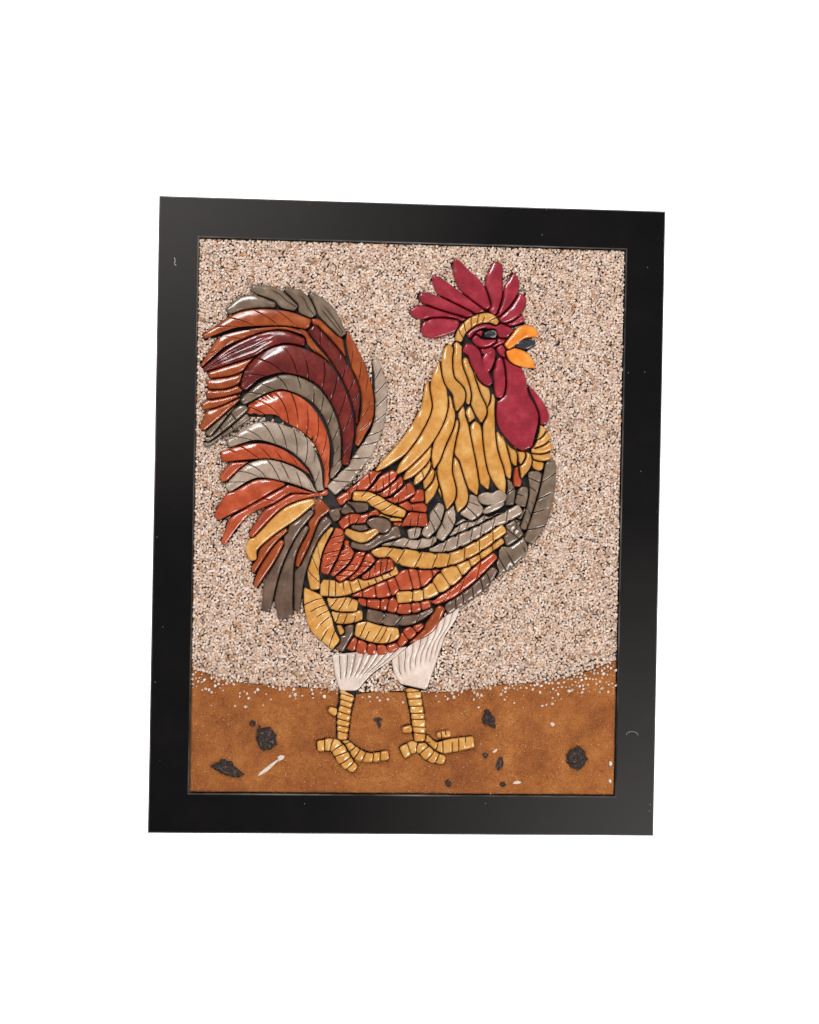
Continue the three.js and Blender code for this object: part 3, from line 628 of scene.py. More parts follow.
# Hackle: the scored crown band, the long strands that fall from it in three overlapping rows, and a tuft of
# short leaves on the chest.
relief("crown_and_hackle", [
    crown_band,
    strand([(253, 454, 6), (250, 438, 8), (253, 418, 8), (263, 404, 10), (261, 387, 5)]),
    strand([(261, 457, 7), (260, 434, 8), (267, 413, 9), (273, 394, 6)]),
    strand([(269, 441, 8), (271, 424, 10), (279, 401, 10), (285, 388, 10), (286, 376, 6)]),
    strand([(278, 427, 5), (286, 409, 12), (291, 391, 7)]),
    strand([(275, 393, 4), (276, 384, 9), (274, 376, 4)]),
    strand([(297, 405, 6), (294, 382, 9), (296, 350, 10), (303, 325, 12), (311, 305, 4)]),
    strand([(245, 437, 4), (242, 414, 13), (244, 388, 12), (231, 358, 11), (202, 323, 6)]),
    strand([(232, 416, 4), (231, 388, 11), (213, 355, 12), (181, 325, 3)]),
    strand([(253, 402, 5), (253, 378, 10), (244, 352, 9), (239, 329, 4)]),
    strand([(237, 355, 4), (228, 338, 9), (209, 317, 6)]),
    strand([(238, 349, 4), (230, 332, 10), (220, 312, 6)], cuts=2, slant=3),
    strand([(237, 334, 5), (234, 322, 8), (230, 308, 4)]),
    strand([(262, 378, 3), (253, 352, 10), (250, 326, 12), (255, 304, 11), (253, 288, 4)]),
    strand([(260, 340, 3), (262, 318, 12), (267, 300, 12), (264, 285, 4)]),
    strand([(267, 392, 3), (267, 358, 15), (273, 328, 16), (283, 303, 5)]),
    strand([(280, 377, 7), (282, 352, 12), (288, 325, 11), (294, 309, 6)]),
    strand([(242, 327, 4), (238, 312, 9), (232, 293, 4)]),
    strand([(245, 326, 4), (248, 312, 9), (248, 299, 5)]),
    strand([(303, 367, 6), (308, 343, 10), (316, 320, 6)]),
    strand([(308, 363, 6), (315, 348, 10), (322, 333, 5)]),
    strand([(320, 353, 6), (326, 344, 9), (327, 335, 4)]),
    strand([(330, 348, 8), (332, 338, 10), (328, 321, 3)]),
    strip([(339, 360, 4), (345, 368, 8), (349, 373, 6)]),
    strip([(337, 354, 5), (347, 360, 9), (355, 366, 7)]),
    strip([(337, 350, 5), (349, 352, 9), (358, 355, 7)]),
    strip([(337, 345, 5), (349, 344, 9), (357, 345, 7)]),
    strip([(338, 340, 5), (345, 335, 10), (350, 334, 7)]),
])
relief("red_accent", [strip([(325, 333, 5), (324, 322, 6), (324, 312, 5)])])

# Tail: curved plumes that leave one root and arch over to the left, most of them scored across.
relief("tail_maroon_plumes", [
    strip([(150, 330, 4), (152, 365, 11), (142, 398, 16), (122, 424, 22), (88, 435, 26), (60, 422, 18),
           (46, 404, 4)], cuts=9, slant=-10),
    strip([(158, 372, 5), (157, 402, 10), (140, 436, 10), (113, 467, 8)], cuts=7, slant=-6),
    strip([(107, 451, 8), (80, 454, 16), (42, 441, 15), (7, 422, 2)], lines=(0.3, -0.25)),
])
relief("tail_rust_plumes", [
    strip([(112, 470, 8), (85, 476, 13), (45, 473, 14), (6, 455, 2)], cuts=4, slant=-13),
    strip([(132, 430, 5), (114, 454, 12), (78, 465, 11), (34, 457, 12), (5, 425, 2)], cuts=6, slant=-10),
])
relief("tail_crest_leaves", [
    strip([(29, 481, 4), (50, 490, 13), (77, 487, 6)]),
    strip([(53, 505, 4), (75, 499, 12), (97, 484, 8)], lines=(0.3,)),
    strip([(86, 504, 4), (101, 494, 15), (114, 477, 9)], lines=(0.25,)),
    strip([(110, 500, 6), (128, 483, 14), (146, 460, 5)], lines=(0.2, -0.3)),
])
relief("tail_rust_outer_strips", [
    strip([(160, 350, 4), (169, 377, 13), (164, 415, 17), (148, 464, 3)], cuts=5, slant=-12),
    strip([(113, 475, 4), (131, 463, 10), (150, 441, 8)]),
])
relief("tail_pale_outer", [
    strip([(178, 437, 4), (184, 406, 11), (178, 362, 12), (157, 326, 12), (136, 304, 10)],
          cuts=9, slant=-6, scallop=0.14),
])
relief("tail_rust_fan", [
    strip([(12, 417, 4), (35, 424, 10), (57, 433, 6)]),
    strip([(11, 407, 6), (30, 412, 12), (48, 418, 7)]),
    strip([(10, 397, 6), (28, 402, 9), (46, 406, 6)]),
    strip([(6, 385, 4), (20, 391, 8), (40, 400, 7)]),
    strip([(6, 363, 4), (19, 380, 12), (41, 397, 7)]),
])
relief("tail_taupe_sickle", [
    strip([(140, 316, 9), (144, 350, 11), (124, 395, 13), (84, 412, 13), (45, 391, 5)], cuts=10, slant=-6),
    strip([(12, 357, 4), (26, 379, 9), (43, 398, 6)], cuts=1),
    strip([(10, 352, 4), (29, 370, 9), (50, 387, 6)], cuts=2),
    strip([(9, 347, 4), (30, 364, 9), (52, 378, 6)], cuts=2),
])
relief("tail_terracotta_sickle", [
    strip([(133, 307, 5), (134, 332, 11), (123, 366, 24), (88, 389, 29), (62, 387, 18), (49, 381, 7)],
          cuts=9, slant=-12),
])
relief("tail_pale_sickles", [
    strip([(126, 304, 6), (122, 328, 14), (100, 352, 18), (66, 362, 17), (32, 349, 5)], cuts=8, slant=-9),
    strip([(126, 305, 6), (92, 321, 15), (62, 324, 15), (32, 304, 6)], cuts=7, slant=-8),
])
relief("tail_terracotta_mid", [
    strip([(118, 314, 6), (98, 334, 15), (70, 343, 17), (26, 336, 8)], cuts=6, slant=-9),
    strip([(53, 331, 7), (40, 324, 12), (26, 313, 4)]),
])
relief("tail_terracotta_low", [
    strip([(89, 313, 6), (66, 308, 20), (42, 294, 20), (22, 275, 5)]),
    strip([(122, 304, 4), (95, 307, 10), (76, 296, 10), (50, 284, 13), (29, 249, 3)], cuts=1, slant=-6),
    strip([(133, 303, 4), (105, 299, 6), (84, 291, 10), (56, 257, 3)]),
])
relief("tail_ochre_plume", [
    strip([(119, 295, 5), (98, 283, 15), (74, 265, 14), (58, 246, 10), (60, 233, 4)]),
])
relief("tail_rust_low", [
    strip([(92, 266, 4), (75, 252, 9), (59, 221, 2)]),
    strip([(88, 254, 4), (76, 235, 9), (62, 207, 2)]),
])
relief("tail_slate_plumes", [
    strip([(117, 285, 6), (96, 260, 10), (80, 224, 11), (73, 183, 7)]),
    strip([(112, 269, 5), (96, 240, 10), (90, 205, 17), (93, 176, 12)]),
])
relief("tail_rust_inner", [
    strip([(131, 291, 14), (120, 280, 12), (110, 250, 8), (102, 228, 4)]),
])
relief("tail_slate_inner", [
    strip([(135, 276, 7), (119, 258, 10), (106, 222, 10), (103, 184, 6)]),
])

# Saddle and wing, from the tail root down to the belly: rows and leaves in terracotta, ochre and slate.
relief("side_ochre_crescent", [strip([(151, 264, 4), (168, 258, 8), (184, 266, 4)])])
relief("side_slate_lobes", [
    pebble([(172, 274), (180, 278), (191, 277), (197, 271), (191, 262), (179, 267)]),
    strip([(157, 267, 4), (169, 266, 7), (180, 268, 6)]),
    strip([(157, 251, 4), (172, 249, 6), (188, 259, 9), (206, 265, 10)]),
])
relief("side_terracotta_strip", [
    strip([(146, 269, 7), (156, 276, 8), (170, 276, 8), (184, 284, 5)], cuts=3, slant=2),
])
relief("root_slate_lobes", [
    strip([(142, 274, 7), (139, 286, 9)]),
    strip([(160, 279, 5), (148, 288, 9)]),
    strip([(174, 289, 5), (163, 288, 8), (152, 290, 5)]),
])
relief("saddle_ochre_strip", [
    strip([(158, 299, 8), (176, 297, 10), (192, 288, 10), (211, 282, 5)], cuts=5, slant=4),
    strip([(184, 280, 5), (196, 280, 8), (208, 279, 5)], cuts=1, slant=2),
])
relief("saddle_terracotta_leaves", [
    strip([(143, 293, 6), (156, 300, 10), (168, 311, 10), (184, 327, 5)], cuts=3, slant=4),
    strip([(173, 305, 5), (186, 313, 10), (202, 324, 6)], cuts=3, slant=4),
    strip([(179, 300, 5), (192, 307, 12), (208, 317, 6)], cuts=3, slant=4),
    strip([(190, 295, 5), (205, 302, 13), (219, 309, 10)], cuts=3, slant=4),
    strip([(215, 297, 5), (224, 301, 10), (232, 301, 8)]),
    strip([(205, 290, 6), (218, 292, 10), (233, 291, 11)], cuts=1),
    strip([(199, 273, 6), (214, 277, 11), (233, 280, 18)], cuts=3, slant=2),
])
relief("flank_terracotta_leaves", [
    strip([(131, 221, 6), (137, 240, 12), (147, 266, 9)], cuts=5, slant=-5),
    strip([(137, 220, 5), (149, 237, 14), (157, 253, 10)], cuts=5, slant=-5),
    strip([(144, 215, 5), (157, 230, 13), (168, 246, 7)], cuts=4, slant=-4),
    strip([(155, 217, 5), (168, 230, 12), (179, 239, 8)], cuts=4, slant=-4),
    strip([(168, 219, 6), (184, 228, 13), (200, 232, 8)], cuts=4, slant=3),
])
relief("flank_ochre_tiles", [
    strip([(140, 266, 5), (128, 251, 8), (120, 227, 11), (122, 205, 7)], cuts=4, slant=7),
    strip([(127, 207, 14), (150, 207, 13), (176, 215, 8), (204, 227, 8)], cuts=9),
    loft([(141, 146), (120, 164), (112, 190), (112, 207)], [(147, 153), (140, 172), (133, 188), (127, 200)],
         cuts=6, slant=-6),
    strip([(134, 194, 11), (150, 191, 13), (165, 189, 8)], cuts=3, slant=3),
    strip([(139, 179, 12), (155, 179, 13), (170, 180, 7)], cuts=3, slant=2),
    strip([(143, 168, 9), (149, 160, 7)]),
])
relief("wing_ochre_rows", [
    strip([(178, 245, 6), (204, 240, 14), (232, 236, 14), (258, 238, 10), (282, 249, 9), (312, 270, 7)],
          cuts=8, slant=3, scallop=0.24),
    strip([(204, 198, 9), (234, 203, 9), (256, 220, 17), (276, 236, 11), (310, 259, 6)],
          cuts=8, slant=1, scallop=0.24),
])
relief("wing_terracotta_rows", [
    strip([(159, 203, 6), (188, 206, 14), (216, 216, 20), (250, 224, 9)], cuts=7, scallop=0.1),
    strip([(165, 195, 7), (193, 194, 16), (215, 189, 12), (238, 193, 6)], cuts=6, scallop=0.24),
    strip([(232, 194, 9), (256, 205, 13), (282, 225, 12), (303, 243, 6)], cuts=3, slant=8, scallop=0.12),
])
relief("belly_slate_row", [
    strip([(174, 181, 9), (198, 178, 14), (222, 179, 11), (240, 189, 6)], cuts=3, scallop=0.36, slant=4),
])
relief("belly_ochre_fan", [
    strip([(163, 166, 11), (180, 164, 19), (196, 161, 15), (207, 163, 7)], cuts=5, slant=3),
])
relief("belly_slate_leaf", [
    strip([(146, 145, 9), (152, 157, 10), (161, 170, 7)]),
])
relief("belly_terracotta_row", [
    strip([(156, 152, 10), (172, 149, 14), (196, 149, 12), (216, 162, 10), (230, 173, 6)],
          cuts=7, scallop=0.36),
])
relief("belly_rust_sliver", [strip([(217, 155, 4), (237, 168, 9), (250, 190, 6)])])
relief("breast_slate_rope", [
    strip([(254, 186, 8), (270, 198, 10), (291, 215, 11), (302, 230, 8)], cuts=5, slant=3, scallop=0.1),
])
relief("wing_pale_rows", [
    pebble([(284, 301), (292, 306), (299, 304), (305, 309), (313, 303), (309, 295), (290, 293)]),
    strip([(272, 280, 12), (278, 291, 22), (279, 303, 8)], cuts=2, slant=2),
    pebble([(291, 283), (291, 290), (310, 297), (309, 291)]),
    strip([(231, 260, 6), (239, 274, 12), (248, 293, 6)], cuts=2, slant=4),
    strip([(246, 257, 6), (253, 273, 12), (261, 291, 6)], cuts=2, slant=4),
    strip([(214, 262, 7), (223, 264, 9), (235, 269, 9)], cuts=2, slant=3),
    strip([(188, 253, 5), (210, 253, 9), (232, 256, 12), (246, 262, 8)], cuts=4, slant=3, scallop=0.24),
    strip([(236, 246, 6), (258, 253, 10), (290, 268, 9), (328, 290, 8)], cuts=6, slant=4, scallop=0.28),
    strip([(256, 262, 6), (276, 271, 9), (298, 281, 8), (310, 285, 6)], cuts=5, slant=3, scallop=0.24),
    strip([(263, 270, 4), (275, 277, 6), (290, 281, 5)]),
])
relief("breast_taupe_scales", [
    strip([(357, 338, 9), (355, 312, 12), (347, 279, 14), (336, 256, 8)], cuts=4, slant=-6),
    strip([(342, 328, 14), (343, 306, 11), (340, 288, 11), (333, 268, 10)], cuts=5, slant=3),
    strip([(332, 312, 10), (328, 292, 12)], cuts=1),
    strip([(315, 319, 10), (316, 293, 11)], cuts=1, slant=-3),
    strip([(318, 287, 10), (334, 285, 12)], cuts=1),
    strip([(311, 255, 9), (321, 268, 18), (334, 282, 14)], cuts=2, lines=(0.0,)),
    strip([(301, 222, 7), (310, 235, 18), (325, 252, 20), (333, 264, 12)], cuts=3, slant=3),
])

# Thighs, scored from the knee up like feathers, and the legs with their toes.
relief("thigh_right", [
    loft([(211, 111), (204, 123), (201, 136)], [(235, 106), (247, 142), (253, 160), (264, 178), (268, 192)],
         lines=(-0.78, -0.55, -0.32, -0.08, 0.15, 0.38, 0.6, 0.8), under=1.6),
])
relief("thigh_left", [
    loft([(150, 104), (146, 116), (141, 140)], [(165, 104), (180, 121), (200, 136), (215, 149)],
         lines=(-0.76, -0.54, -0.32, -0.1, 0.13, 0.36, 0.58, 0.8), under=1.6),
])
relief("leg_left", [
    strip([(157, 104, 14), (155, 90, 10), (153, 76, 11), (152, 55, 7)], cuts=7, slant=1, scallop=0.14),
    strip([(138, 86, 3), (143, 83, 5), (150, 81, 6)]),
    strip([(127, 48, 8), (144, 49, 11), (156, 33, 11), (166, 25, 6)], cuts=6, slant=1, scallop=0.12),
    strip([(150, 55, 8), (162, 43, 11), (178, 37, 7), (199, 40, 7)], cuts=6, slant=1, scallop=0.12),
])
relief("leg_right", [
    strip([(222, 108, 13), (226, 88, 11), (229, 70, 11), (230, 54, 8)], cuts=7, slant=1, scallop=0.12),
    strip([(212, 65, 3), (218, 66, 5), (225, 67, 5)]),
    strip([(212, 42, 10), (228, 49, 10), (242, 39, 10), (256, 35, 6)], cuts=5, slant=1, scallop=0.12),
    strip([(235, 58, 5), (245, 48, 9), (262, 50, 11), (285, 54, 9)], cuts=6, slant=1),
    strip([(247, 60, 3), (253, 61, 4), (261, 62, 4)], cuts=2),
])


# Crushed stone: thousands of angular chips of beige and pink stone, pressed by hand into the adhesive so
# that they stand at odd angles right up to the clay, over a layer of smaller grit that shows between them.
# The open ground is a grid of small squares in the opening. Gaps of few squares, and the hollows between the
# bird's pieces, are black adhesive without chips. The shore is the upper edge of the sand. The face of the
# grit lies under that of the chips, and a cover is full where chips lie as close as their spacing allows.
OPEN_SQUARE = 0.9
OPEN_FROM = 1.7
OPEN_RIGHT = 428.5
OPEN_TOP = 552.5
CHIP_ROOM = 0.4
GAP_SQUARES = 4
BLACK_HOLLOWS = [(288, 462, 10), (139, 296, 13), (244, 296, 9), (211, 267, 8), (332, 316, 6), (173, 186, 5)]
SHORE = [(0, 124), (40, 112), (85, 108), (130, 106), (158, 100), (190, 104), (222, 103), (262, 104),
         (300, 111), (345, 121), (385, 138), (430, 138)]
GRIT_TOP = 0.0182
FULL_COVER = 600000.0


def chip_mesh(name, seed):
    """One angular chip of unit size, closed, from a few random corners."""
    pick = random.Random(seed)
    mesh = bpy.data.meshes.new(name)
    corners = []
    for i in range(8):
        angle = i * 2.4
        rise = 1 - 2 * (i + 0.5) / 8
        flat = math.sqrt(1 - rise * rise)
        size = pick.uniform(0.8, 1.15)
        x = math.cos(angle) * flat * size
        y = math.sin(angle) * flat * size * 0.85
        corners.append((x, y, rise * size * 0.8))
    mesh.from_pydata(corners, [], [])
    shape = bmesh.new()
    shape.from_mesh(mesh)
    bmesh.ops.convex_hull(shape, input=shape.verts)
    bmesh.ops.recalc_face_normals(shape, faces=shape.faces)
    shape.to_mesh(mesh)
    shape.free()
    return mesh


chips = bpy.data.collections.new("chip shapes")
for seed in range(6):
    chips.objects.link(bpy.data.objects.new(f"chip_{seed}", chip_mesh(f"chip_{seed}", seed)))


def stone_material(name, stops, rough=0.82):
    """Stone whose chips each have a tone of their own."""
    material, tree, shader, place = surface(name, rough)
    colour = ramp(tree, stored(tree, "tone"), stops)
    grainy = ramp(tree, mottle(tree, place, 0.9, 3.0), [(0.3, "#b9b0a8"), (0.6, "#ffffff")])
    tree.links.new(mix(tree, 0.6, colour, grainy, "MULTIPLY"), shader.inputs["Base Color"])
    return material


def grit_material():
    """The small grit between the chips: pale grains with black gaps between them."""
    material, tree, shader, place = surface("fine grit between the chips", 0.9)
    own, away = cells_of(tree, place, 0.42)
    tone = ramp(tree, add(tree, "ShaderNodeSeparateColor", Color=own).outputs[0], [
        (0.0, "#b3988a"), (0.5, "#dcc0ab"), (0.85, "#ecd8c6"), (1.0, "#a97a50")])
    gaps = ramp(tree, away, [(0.5, "#ffffff"), (0.66, "#1d1512")])
    tree.links.new(mix(tree, 1.0, tone, gaps, "MULTIPLY"), shader.inputs["Base Color"])
    bump(tree, shader, away, 0.8, 0.0012, invert=True)
    return material


def scatter_tree(material):
    """Geometry Nodes: scatters chips over a layer, turned and sized at random, fewer from one height to
    another above the origin, and gives each a tone of its own."""
    tree = bpy.data.node_groups.new("scatter chips", "GeometryNodeTree")
    face = tree.interface
    face.new_socket("Layer", in_out="INPUT", socket_type="NodeSocketGeometry")
    for label, value in (("Spacing", 0.002), ("Smallest", 0.001), ("Largest", 0.002), ("Density", 100000.0),
                         ("Fade From", -9.0), ("Fade To", -8.0)):
        socket = face.new_socket(label, in_out="INPUT", socket_type="NodeSocketFloat")
        socket.default_value = value
    face.new_socket("Seed", in_out="INPUT", socket_type="NodeSocketInt")
    face.new_socket("Chips", in_out="OUTPUT", socket_type="NodeSocketGeometry")
    given = tree.nodes.new("NodeGroupInput").outputs
    points = add(tree, "GeometryNodeDistributePointsOnFaces", {"distribute_method": "POISSON"},
                 Mesh=given["Layer"], _2=given["Spacing"], _3=given["Density"], Seed=given["Seed"])
    height = add(tree, "ShaderNodeSeparateXYZ", Vector=add(tree, "GeometryNodeInputPosition").outputs[0])
    sway = add(tree, "ShaderNodeTexNoise", {"noise_dimensions": "3D"}, Scale=60.0, Detail=2.0)
    shifted = add(tree, "ShaderNodeMath", {"operation": "MULTIPLY_ADD"}, _0=sway.outputs[0], _1=0.05,
                  _2=height.outputs[2])
    chance = remap(tree, shifted.outputs[0], given["Fade From"], given["Fade To"], 0.0, 1.0)
    dice = add(tree, "FunctionNodeRandomValue", Seed=11)
    lost = add(tree, "FunctionNodeCompare", {"operation": "GREATER_THAN"}, _0=dice.outputs[1], _1=chance)
    kept = add(tree, "GeometryNodeDeleteGeometry", {"domain": "POINT"}, Geometry=points.outputs[0],
               Selection=lost.outputs[0])
    shapes = add(tree, "GeometryNodeCollectionInfo", {"transform_space": "ORIGINAL"}, Collection=chips,
                 Separate_Children=True, Reset_Children=True)
    turn = add(tree, "FunctionNodeRandomValue", {"data_type": "FLOAT_VECTOR"}, _1=(6.28, 6.28, 6.28),
               Seed=22)
    size = add(tree, "FunctionNodeRandomValue", _2=given["Smallest"], _3=given["Largest"], Seed=33)
    laid = add(tree, "GeometryNodeInstanceOnPoints", Points=kept.outputs[0], Instance=shapes.outputs[0],
               Pick_Instance=True, Rotation=turn.outputs[0], Scale=size.outputs[1])
    tint = add(tree, "FunctionNodeRandomValue", Seed=44)
    toned = add(tree, "GeometryNodeStoreNamedAttribute", {"data_type": "FLOAT", "domain": "INSTANCE"},
                Geometry=laid.outputs[0], Name="tone", Value=tint.outputs[1])
    real = add(tree, "GeometryNodeRealizeInstances", Geometry=toned.outputs[0])
    coloured = add(tree, "GeometryNodeSetMaterial", Geometry=real.outputs[0], Material=material)
    tree.links.new(coloured.outputs[0], tree.nodes.new("NodeGroupOutput").inputs[0])
    return tree


def opened(free, reach):
    """The free squares without the narrow gaps between pieces, where no chips lie."""
    for state in (False, True):
        spread = free.copy()
        for di in range(-reach, reach + 1):
            for dj in range(-reach, reach + 1):
                if di * di + dj * dj <= reach * reach + 1:
                    moved = numpy.roll(free, (di, dj), (0, 1))
                    spread = spread | moved if state else spread & moved
        free = spread
    return free


def open_ground(name, out, wanted):
    """A grid of small squares at one distance from the wall, where no clay lies and the place is wanted."""
    across = numpy.arange(OPEN_FROM, OPEN_RIGHT, OPEN_SQUARE)
    upward = numpy.arange(OPEN_FROM, OPEN_TOP, OPEN_SQUARE)
    free = numpy.array([[wanted(u, v) for v in upward] for u in across])
    for u, v, reach in taken:
        i0, i1 = numpy.searchsorted(across, (u - reach - CHIP_ROOM, u + reach + CHIP_ROOM))
        j0, j1 = numpy.searchsorted(upward, (v - reach - CHIP_ROOM, v + reach + CHIP_ROOM))
        away = numpy.hypot(across[i0:i1, None] - u, upward[None, j0:j1] - v)
        free[i0:i1, j0:j1] &= away > reach + CHIP_ROOM
    points = []
    faces = []
    half = OPEN_SQUARE / 2
    for i, j in zip(*numpy.nonzero(opened(free, GAP_SQUARES))):
        faces.append(tuple(range(len(points), len(points) + 4)))
        points += [metres(across[i] + a * half, upward[j] + b * half, out)
                   for a, b in ((-1, -1), (1, -1), (1, 1), (-1, 1))]
    mesh = bpy.data.meshes.new(name)
    mesh.from_pydata(points, [], faces)
    return new_object(name, mesh)


def scattered(ground, material, **values):
    """A piece of chips scattered over a ground."""
    tree = scatter_tree(material)
    modifier = ground.modifiers.new("chips", "NODES")
    modifier.node_group = tree
    for item in tree.interface.items_tree:
        key = item.name.replace(" ", "_").lower()
        if item.in_out == "INPUT" and key in values:
            modifier[item.identifier] = values[key]
    return finished(ground, ground.name)


def shore_at(u):
    """The height of the upper edge of the sand."""
    after = next(k for k, point in enumerate(SHORE) if k and point[0] >= min(u, SHORE[-1][0]))
    (u0, v0), (u1, v1) = SHORE[after - 1], SHORE[after]
    ragged = 7 * noise.noise(Vector((u / 17, 3.3, 0))) + 4 * noise.noise(Vector((u / 4, 7.1, 0)))
    return v0 + (v1 - v0) * (u - u0) / (u1 - u0) + ragged


take(BLACK_HOLLOWS)
crushed = stone_material("crushed beige and pink stone", [
    (0.0, "#b0937f"), (0.12, "#cfb29e"), (0.5, "#e2cab8"), (0.78, "#ecdace"), (0.88, "#d9ad88"),
    (0.94, "#b98354"), (0.98, "#8a7b71"), (1.0, "#fbf1e6")])
field = scattered(open_ground("gravel_field_chips", 18.6, lambda u, v: v > shore_at(u)), crushed,
                  spacing=0.0026, smallest=0.0014, largest=0.0025, seed=3,
                  density=FULL_COVER)
ride_for(field, "crushed_stone", "gravel_field", "gravel_between_thighs")
grit = grit_material()
for node in ("gravel_field", "gravel_between_thighs"):
    layer = copy_of(node, node + "_grit")
    for vertex in layer.data.vertices:
        vertex.co.y = max(vertex.co.y, -GRIT_TOP)
    layer.data.materials.append(grit)
    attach(layer, "root")


# Sand: orange-brown sand glued in a thin even layer along the bottom, gently uneven, with single grains on
# it, a drift of sand over the foot of the stone, and pale chips of the stone strayed over its upper edge.
def soften(obj, grain, keep, rounds):
    """Turns a CAD copy into an even fine mesh with rounded edges, and returns it finished."""
    even = obj.modifiers.new("even", "REMESH")
    even.mode = "VOXEL"
    even.voxel_size = grain
    even.use_smooth_shade = True
    rounded = obj.modifiers.new("rounded", "SMOOTH")
    rounded.factor = 0.5
    rounded.iterations = rounds
    if keep < 1:
        fewer = obj.modifiers.new("fewer", "DECIMATE")
        fewer.ratio = keep
    return finished(obj, obj.name)


def uneven(obj, top, wave, height, seed):
    """Gives the face of a piece the slight hand-made waves of patted sand."""
    shift = Vector((seed * 1.7, 0, seed * 0.9))
    for vertex in obj.data.vertices:
        reach = max(0.0, 1 - (vertex.co.y - top) / 0.004)
        spot = Vector((vertex.co.x, 0, vertex.co.z)) / wave + shift
        vertex.co.y += height * reach * (0.5 + noise.noise(spot))


def sand_material():
    """Broad orange and brown patches under a fine grain."""
    material, tree, shader, place = surface("orange-brown sand", 0.95)
    broad = ramp(tree, mottle(tree, place, 0.03, 6.0, 0.7), [
        (0.3, "#8f5024"), (0.47, "#a9632c"), (0.6, "#bb7436"), (0.72, "#c98a4e")])
    grain = mottle(tree, place, 0.8, 5.0, 0.8)
    fine = ramp(tree, grain, [(0.32, "#6f5848"), (0.5, "#f2ece6"), (0.75, "#ffffff")])
    tree.links.new(mix(tree, 0.85, broad, fine, "MULTIPLY"), shader.inputs["Base Color"])
    bump(tree, shader, grain, 0.8, 0.0022)
    return material


ground = soften(copy_of("sand_ground", "sand"), grain=0.0011, keep=0.4, rounds=2)
uneven(ground, top=-0.0194, wave=0.012, height=0.0013, seed=5)
ground.data.materials.append(sand_material())
ride_for(ground, "sand", "sand_ground")

grain_stone = stone_material("sand grains", [
    (0.0, "#7a4520"), (0.2, "#9c5b2b"), (0.6, "#b06c34"), (0.85, "#c3864c"), (0.96, "#d9a877"),
    (1.0, "#5c351c")], 0.9)
grains = scattered(open_ground("sand_grains", 19.3, lambda u, v: v < shore_at(u) - 1), grain_stone,
                   spacing=0.0020, smallest=0.0003, largest=0.0009, seed=5,
                   density=FULL_COVER)
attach(grains, "root")
drift = scattered(open_ground("sand_over_stone", 19.7, lambda u, v: shore_at(u) - 3 < v < shore_at(u) + 22),
                  grain_stone, spacing=0.0022, smallest=0.0006, largest=0.0016, seed=6,
                  density=FULL_COVER, fade_from=-0.425, fade_to=-0.462)
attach(drift, "root")

stray_stone = stone_material("pale stray chips", [(0.0, "#d9c9bb"), (0.6, "#e8dccf"), (1.0, "#c9b19c")])
strays = scattered(open_ground("stray_chips", 19.2, lambda u, v: shore_at(u) - 34 < v <= shore_at(u)),
                   stray_stone, spacing=0.0032, smallest=0.0007, largest=0.0024, seed=8,
                   density=FULL_COVER / 2, fade_from=-0.462, fade_to=-0.420)
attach(strays, "root")


# Lava: rough porous lumps of dark stone lying on the sand, a few crumbs of the same, and slivers of pale
# marble. A bit of stone lies on the sand at one height and reaches a little way into it. The lumps are
# rougher on top than round the foot, below the face of the sand.
SAND_TOP = 19.0
BIT_FOOT = 18.2
LUMP_FOOT = 0.0198
LUMP_ROUGH = 0.0019
FOOT_ROUGH = 0.0009


def lava_material():
    """Dark stone whose colour follows its relief: near black down in the pits as painted shade, paler on the
    raised parts.
    """
    material, tree, shader, place = surface("dark porous lava", 0.8)
    pit_relief_and_shade = mottle(tree, place, 0.5, 4.0, 0.75)
    # The colour follows the same relief as the bump: the near black of the pits is painted shade.
    tone = ramp(tree, pit_relief_and_shade, [(0.36, "#0d0807"), (0.5, "#2b1e19"), (0.6, "#4f3d33"), (0.7, "#8a7769")])
    tree.links.new(tone, shader.inputs["Base Color"])
    bump(tree, shader, pit_relief_and_shade, 0.9, 0.0018)
    return material


lava = lava_material()
for number, node in enumerate(sorted(n for n, slot in slots.items() if slot == "lava")):
    lump = soften(copy_of(node, node + "_rough"), grain=0.0007, keep=1, rounds=1)
    centre = sum((v.co for v in lump.data.vertices), Vector()) / len(lump.data.vertices)
    for vertex in lump.data.vertices:
        away = vertex.co - centre
        rough = noise.noise(vertex.co * 260 + Vector((number, 0, 0))) + 0.7 * noise.noise(vertex.co * 620)
        rough += 0.4 * noise.noise(vertex.co * 1300)
        vertex.co += away.normalized() * rough * (LUMP_ROUGH if vertex.co.y < -LUMP_FOOT else FOOT_ROUGH)
    lump.data.materials.append(lava)
    ride_for(lump, "lava", node)


def bit(u, v, wide, high, turn, seed):
    """A broken bit of stone, flat side down on the sand: its corners and the faces of their hull."""
    pick = random.Random(seed)
    shape = bmesh.new()
    for i in range(16):
        angle = i * 2.4
        reach = math.sqrt((i + 0.5) / 16) * pick.uniform(0.75, 1.15)
        x = math.cos(angle) * reach * wide / 2
        z = math.sin(angle) * reach * high / 2
        out = SAND_TOP + min(wide, high) * 0.45 * (1 - reach * 0.7) * pick.uniform(0.6, 1.1)
        place = (u + x * math.cos(turn) - z * math.sin(turn), v + x * math.sin(turn) + z * math.cos(turn))
        for level in (out, BIT_FOOT):
            shape.verts.new((*place, level))
    bmesh.ops.convex_hull(shape, input=shape.verts)
    bmesh.ops.delete(shape, geom=[vertex for vertex in shape.verts if not vertex.link_faces], context="VERTS")
    shape.verts.index_update()
    points = [(*vertex.co, 0.0) for vertex in shape.verts]
    faces = [tuple(vertex.index for vertex in face.verts) for face in shape.faces]
    shape.free()
    return points, faces, 1.0


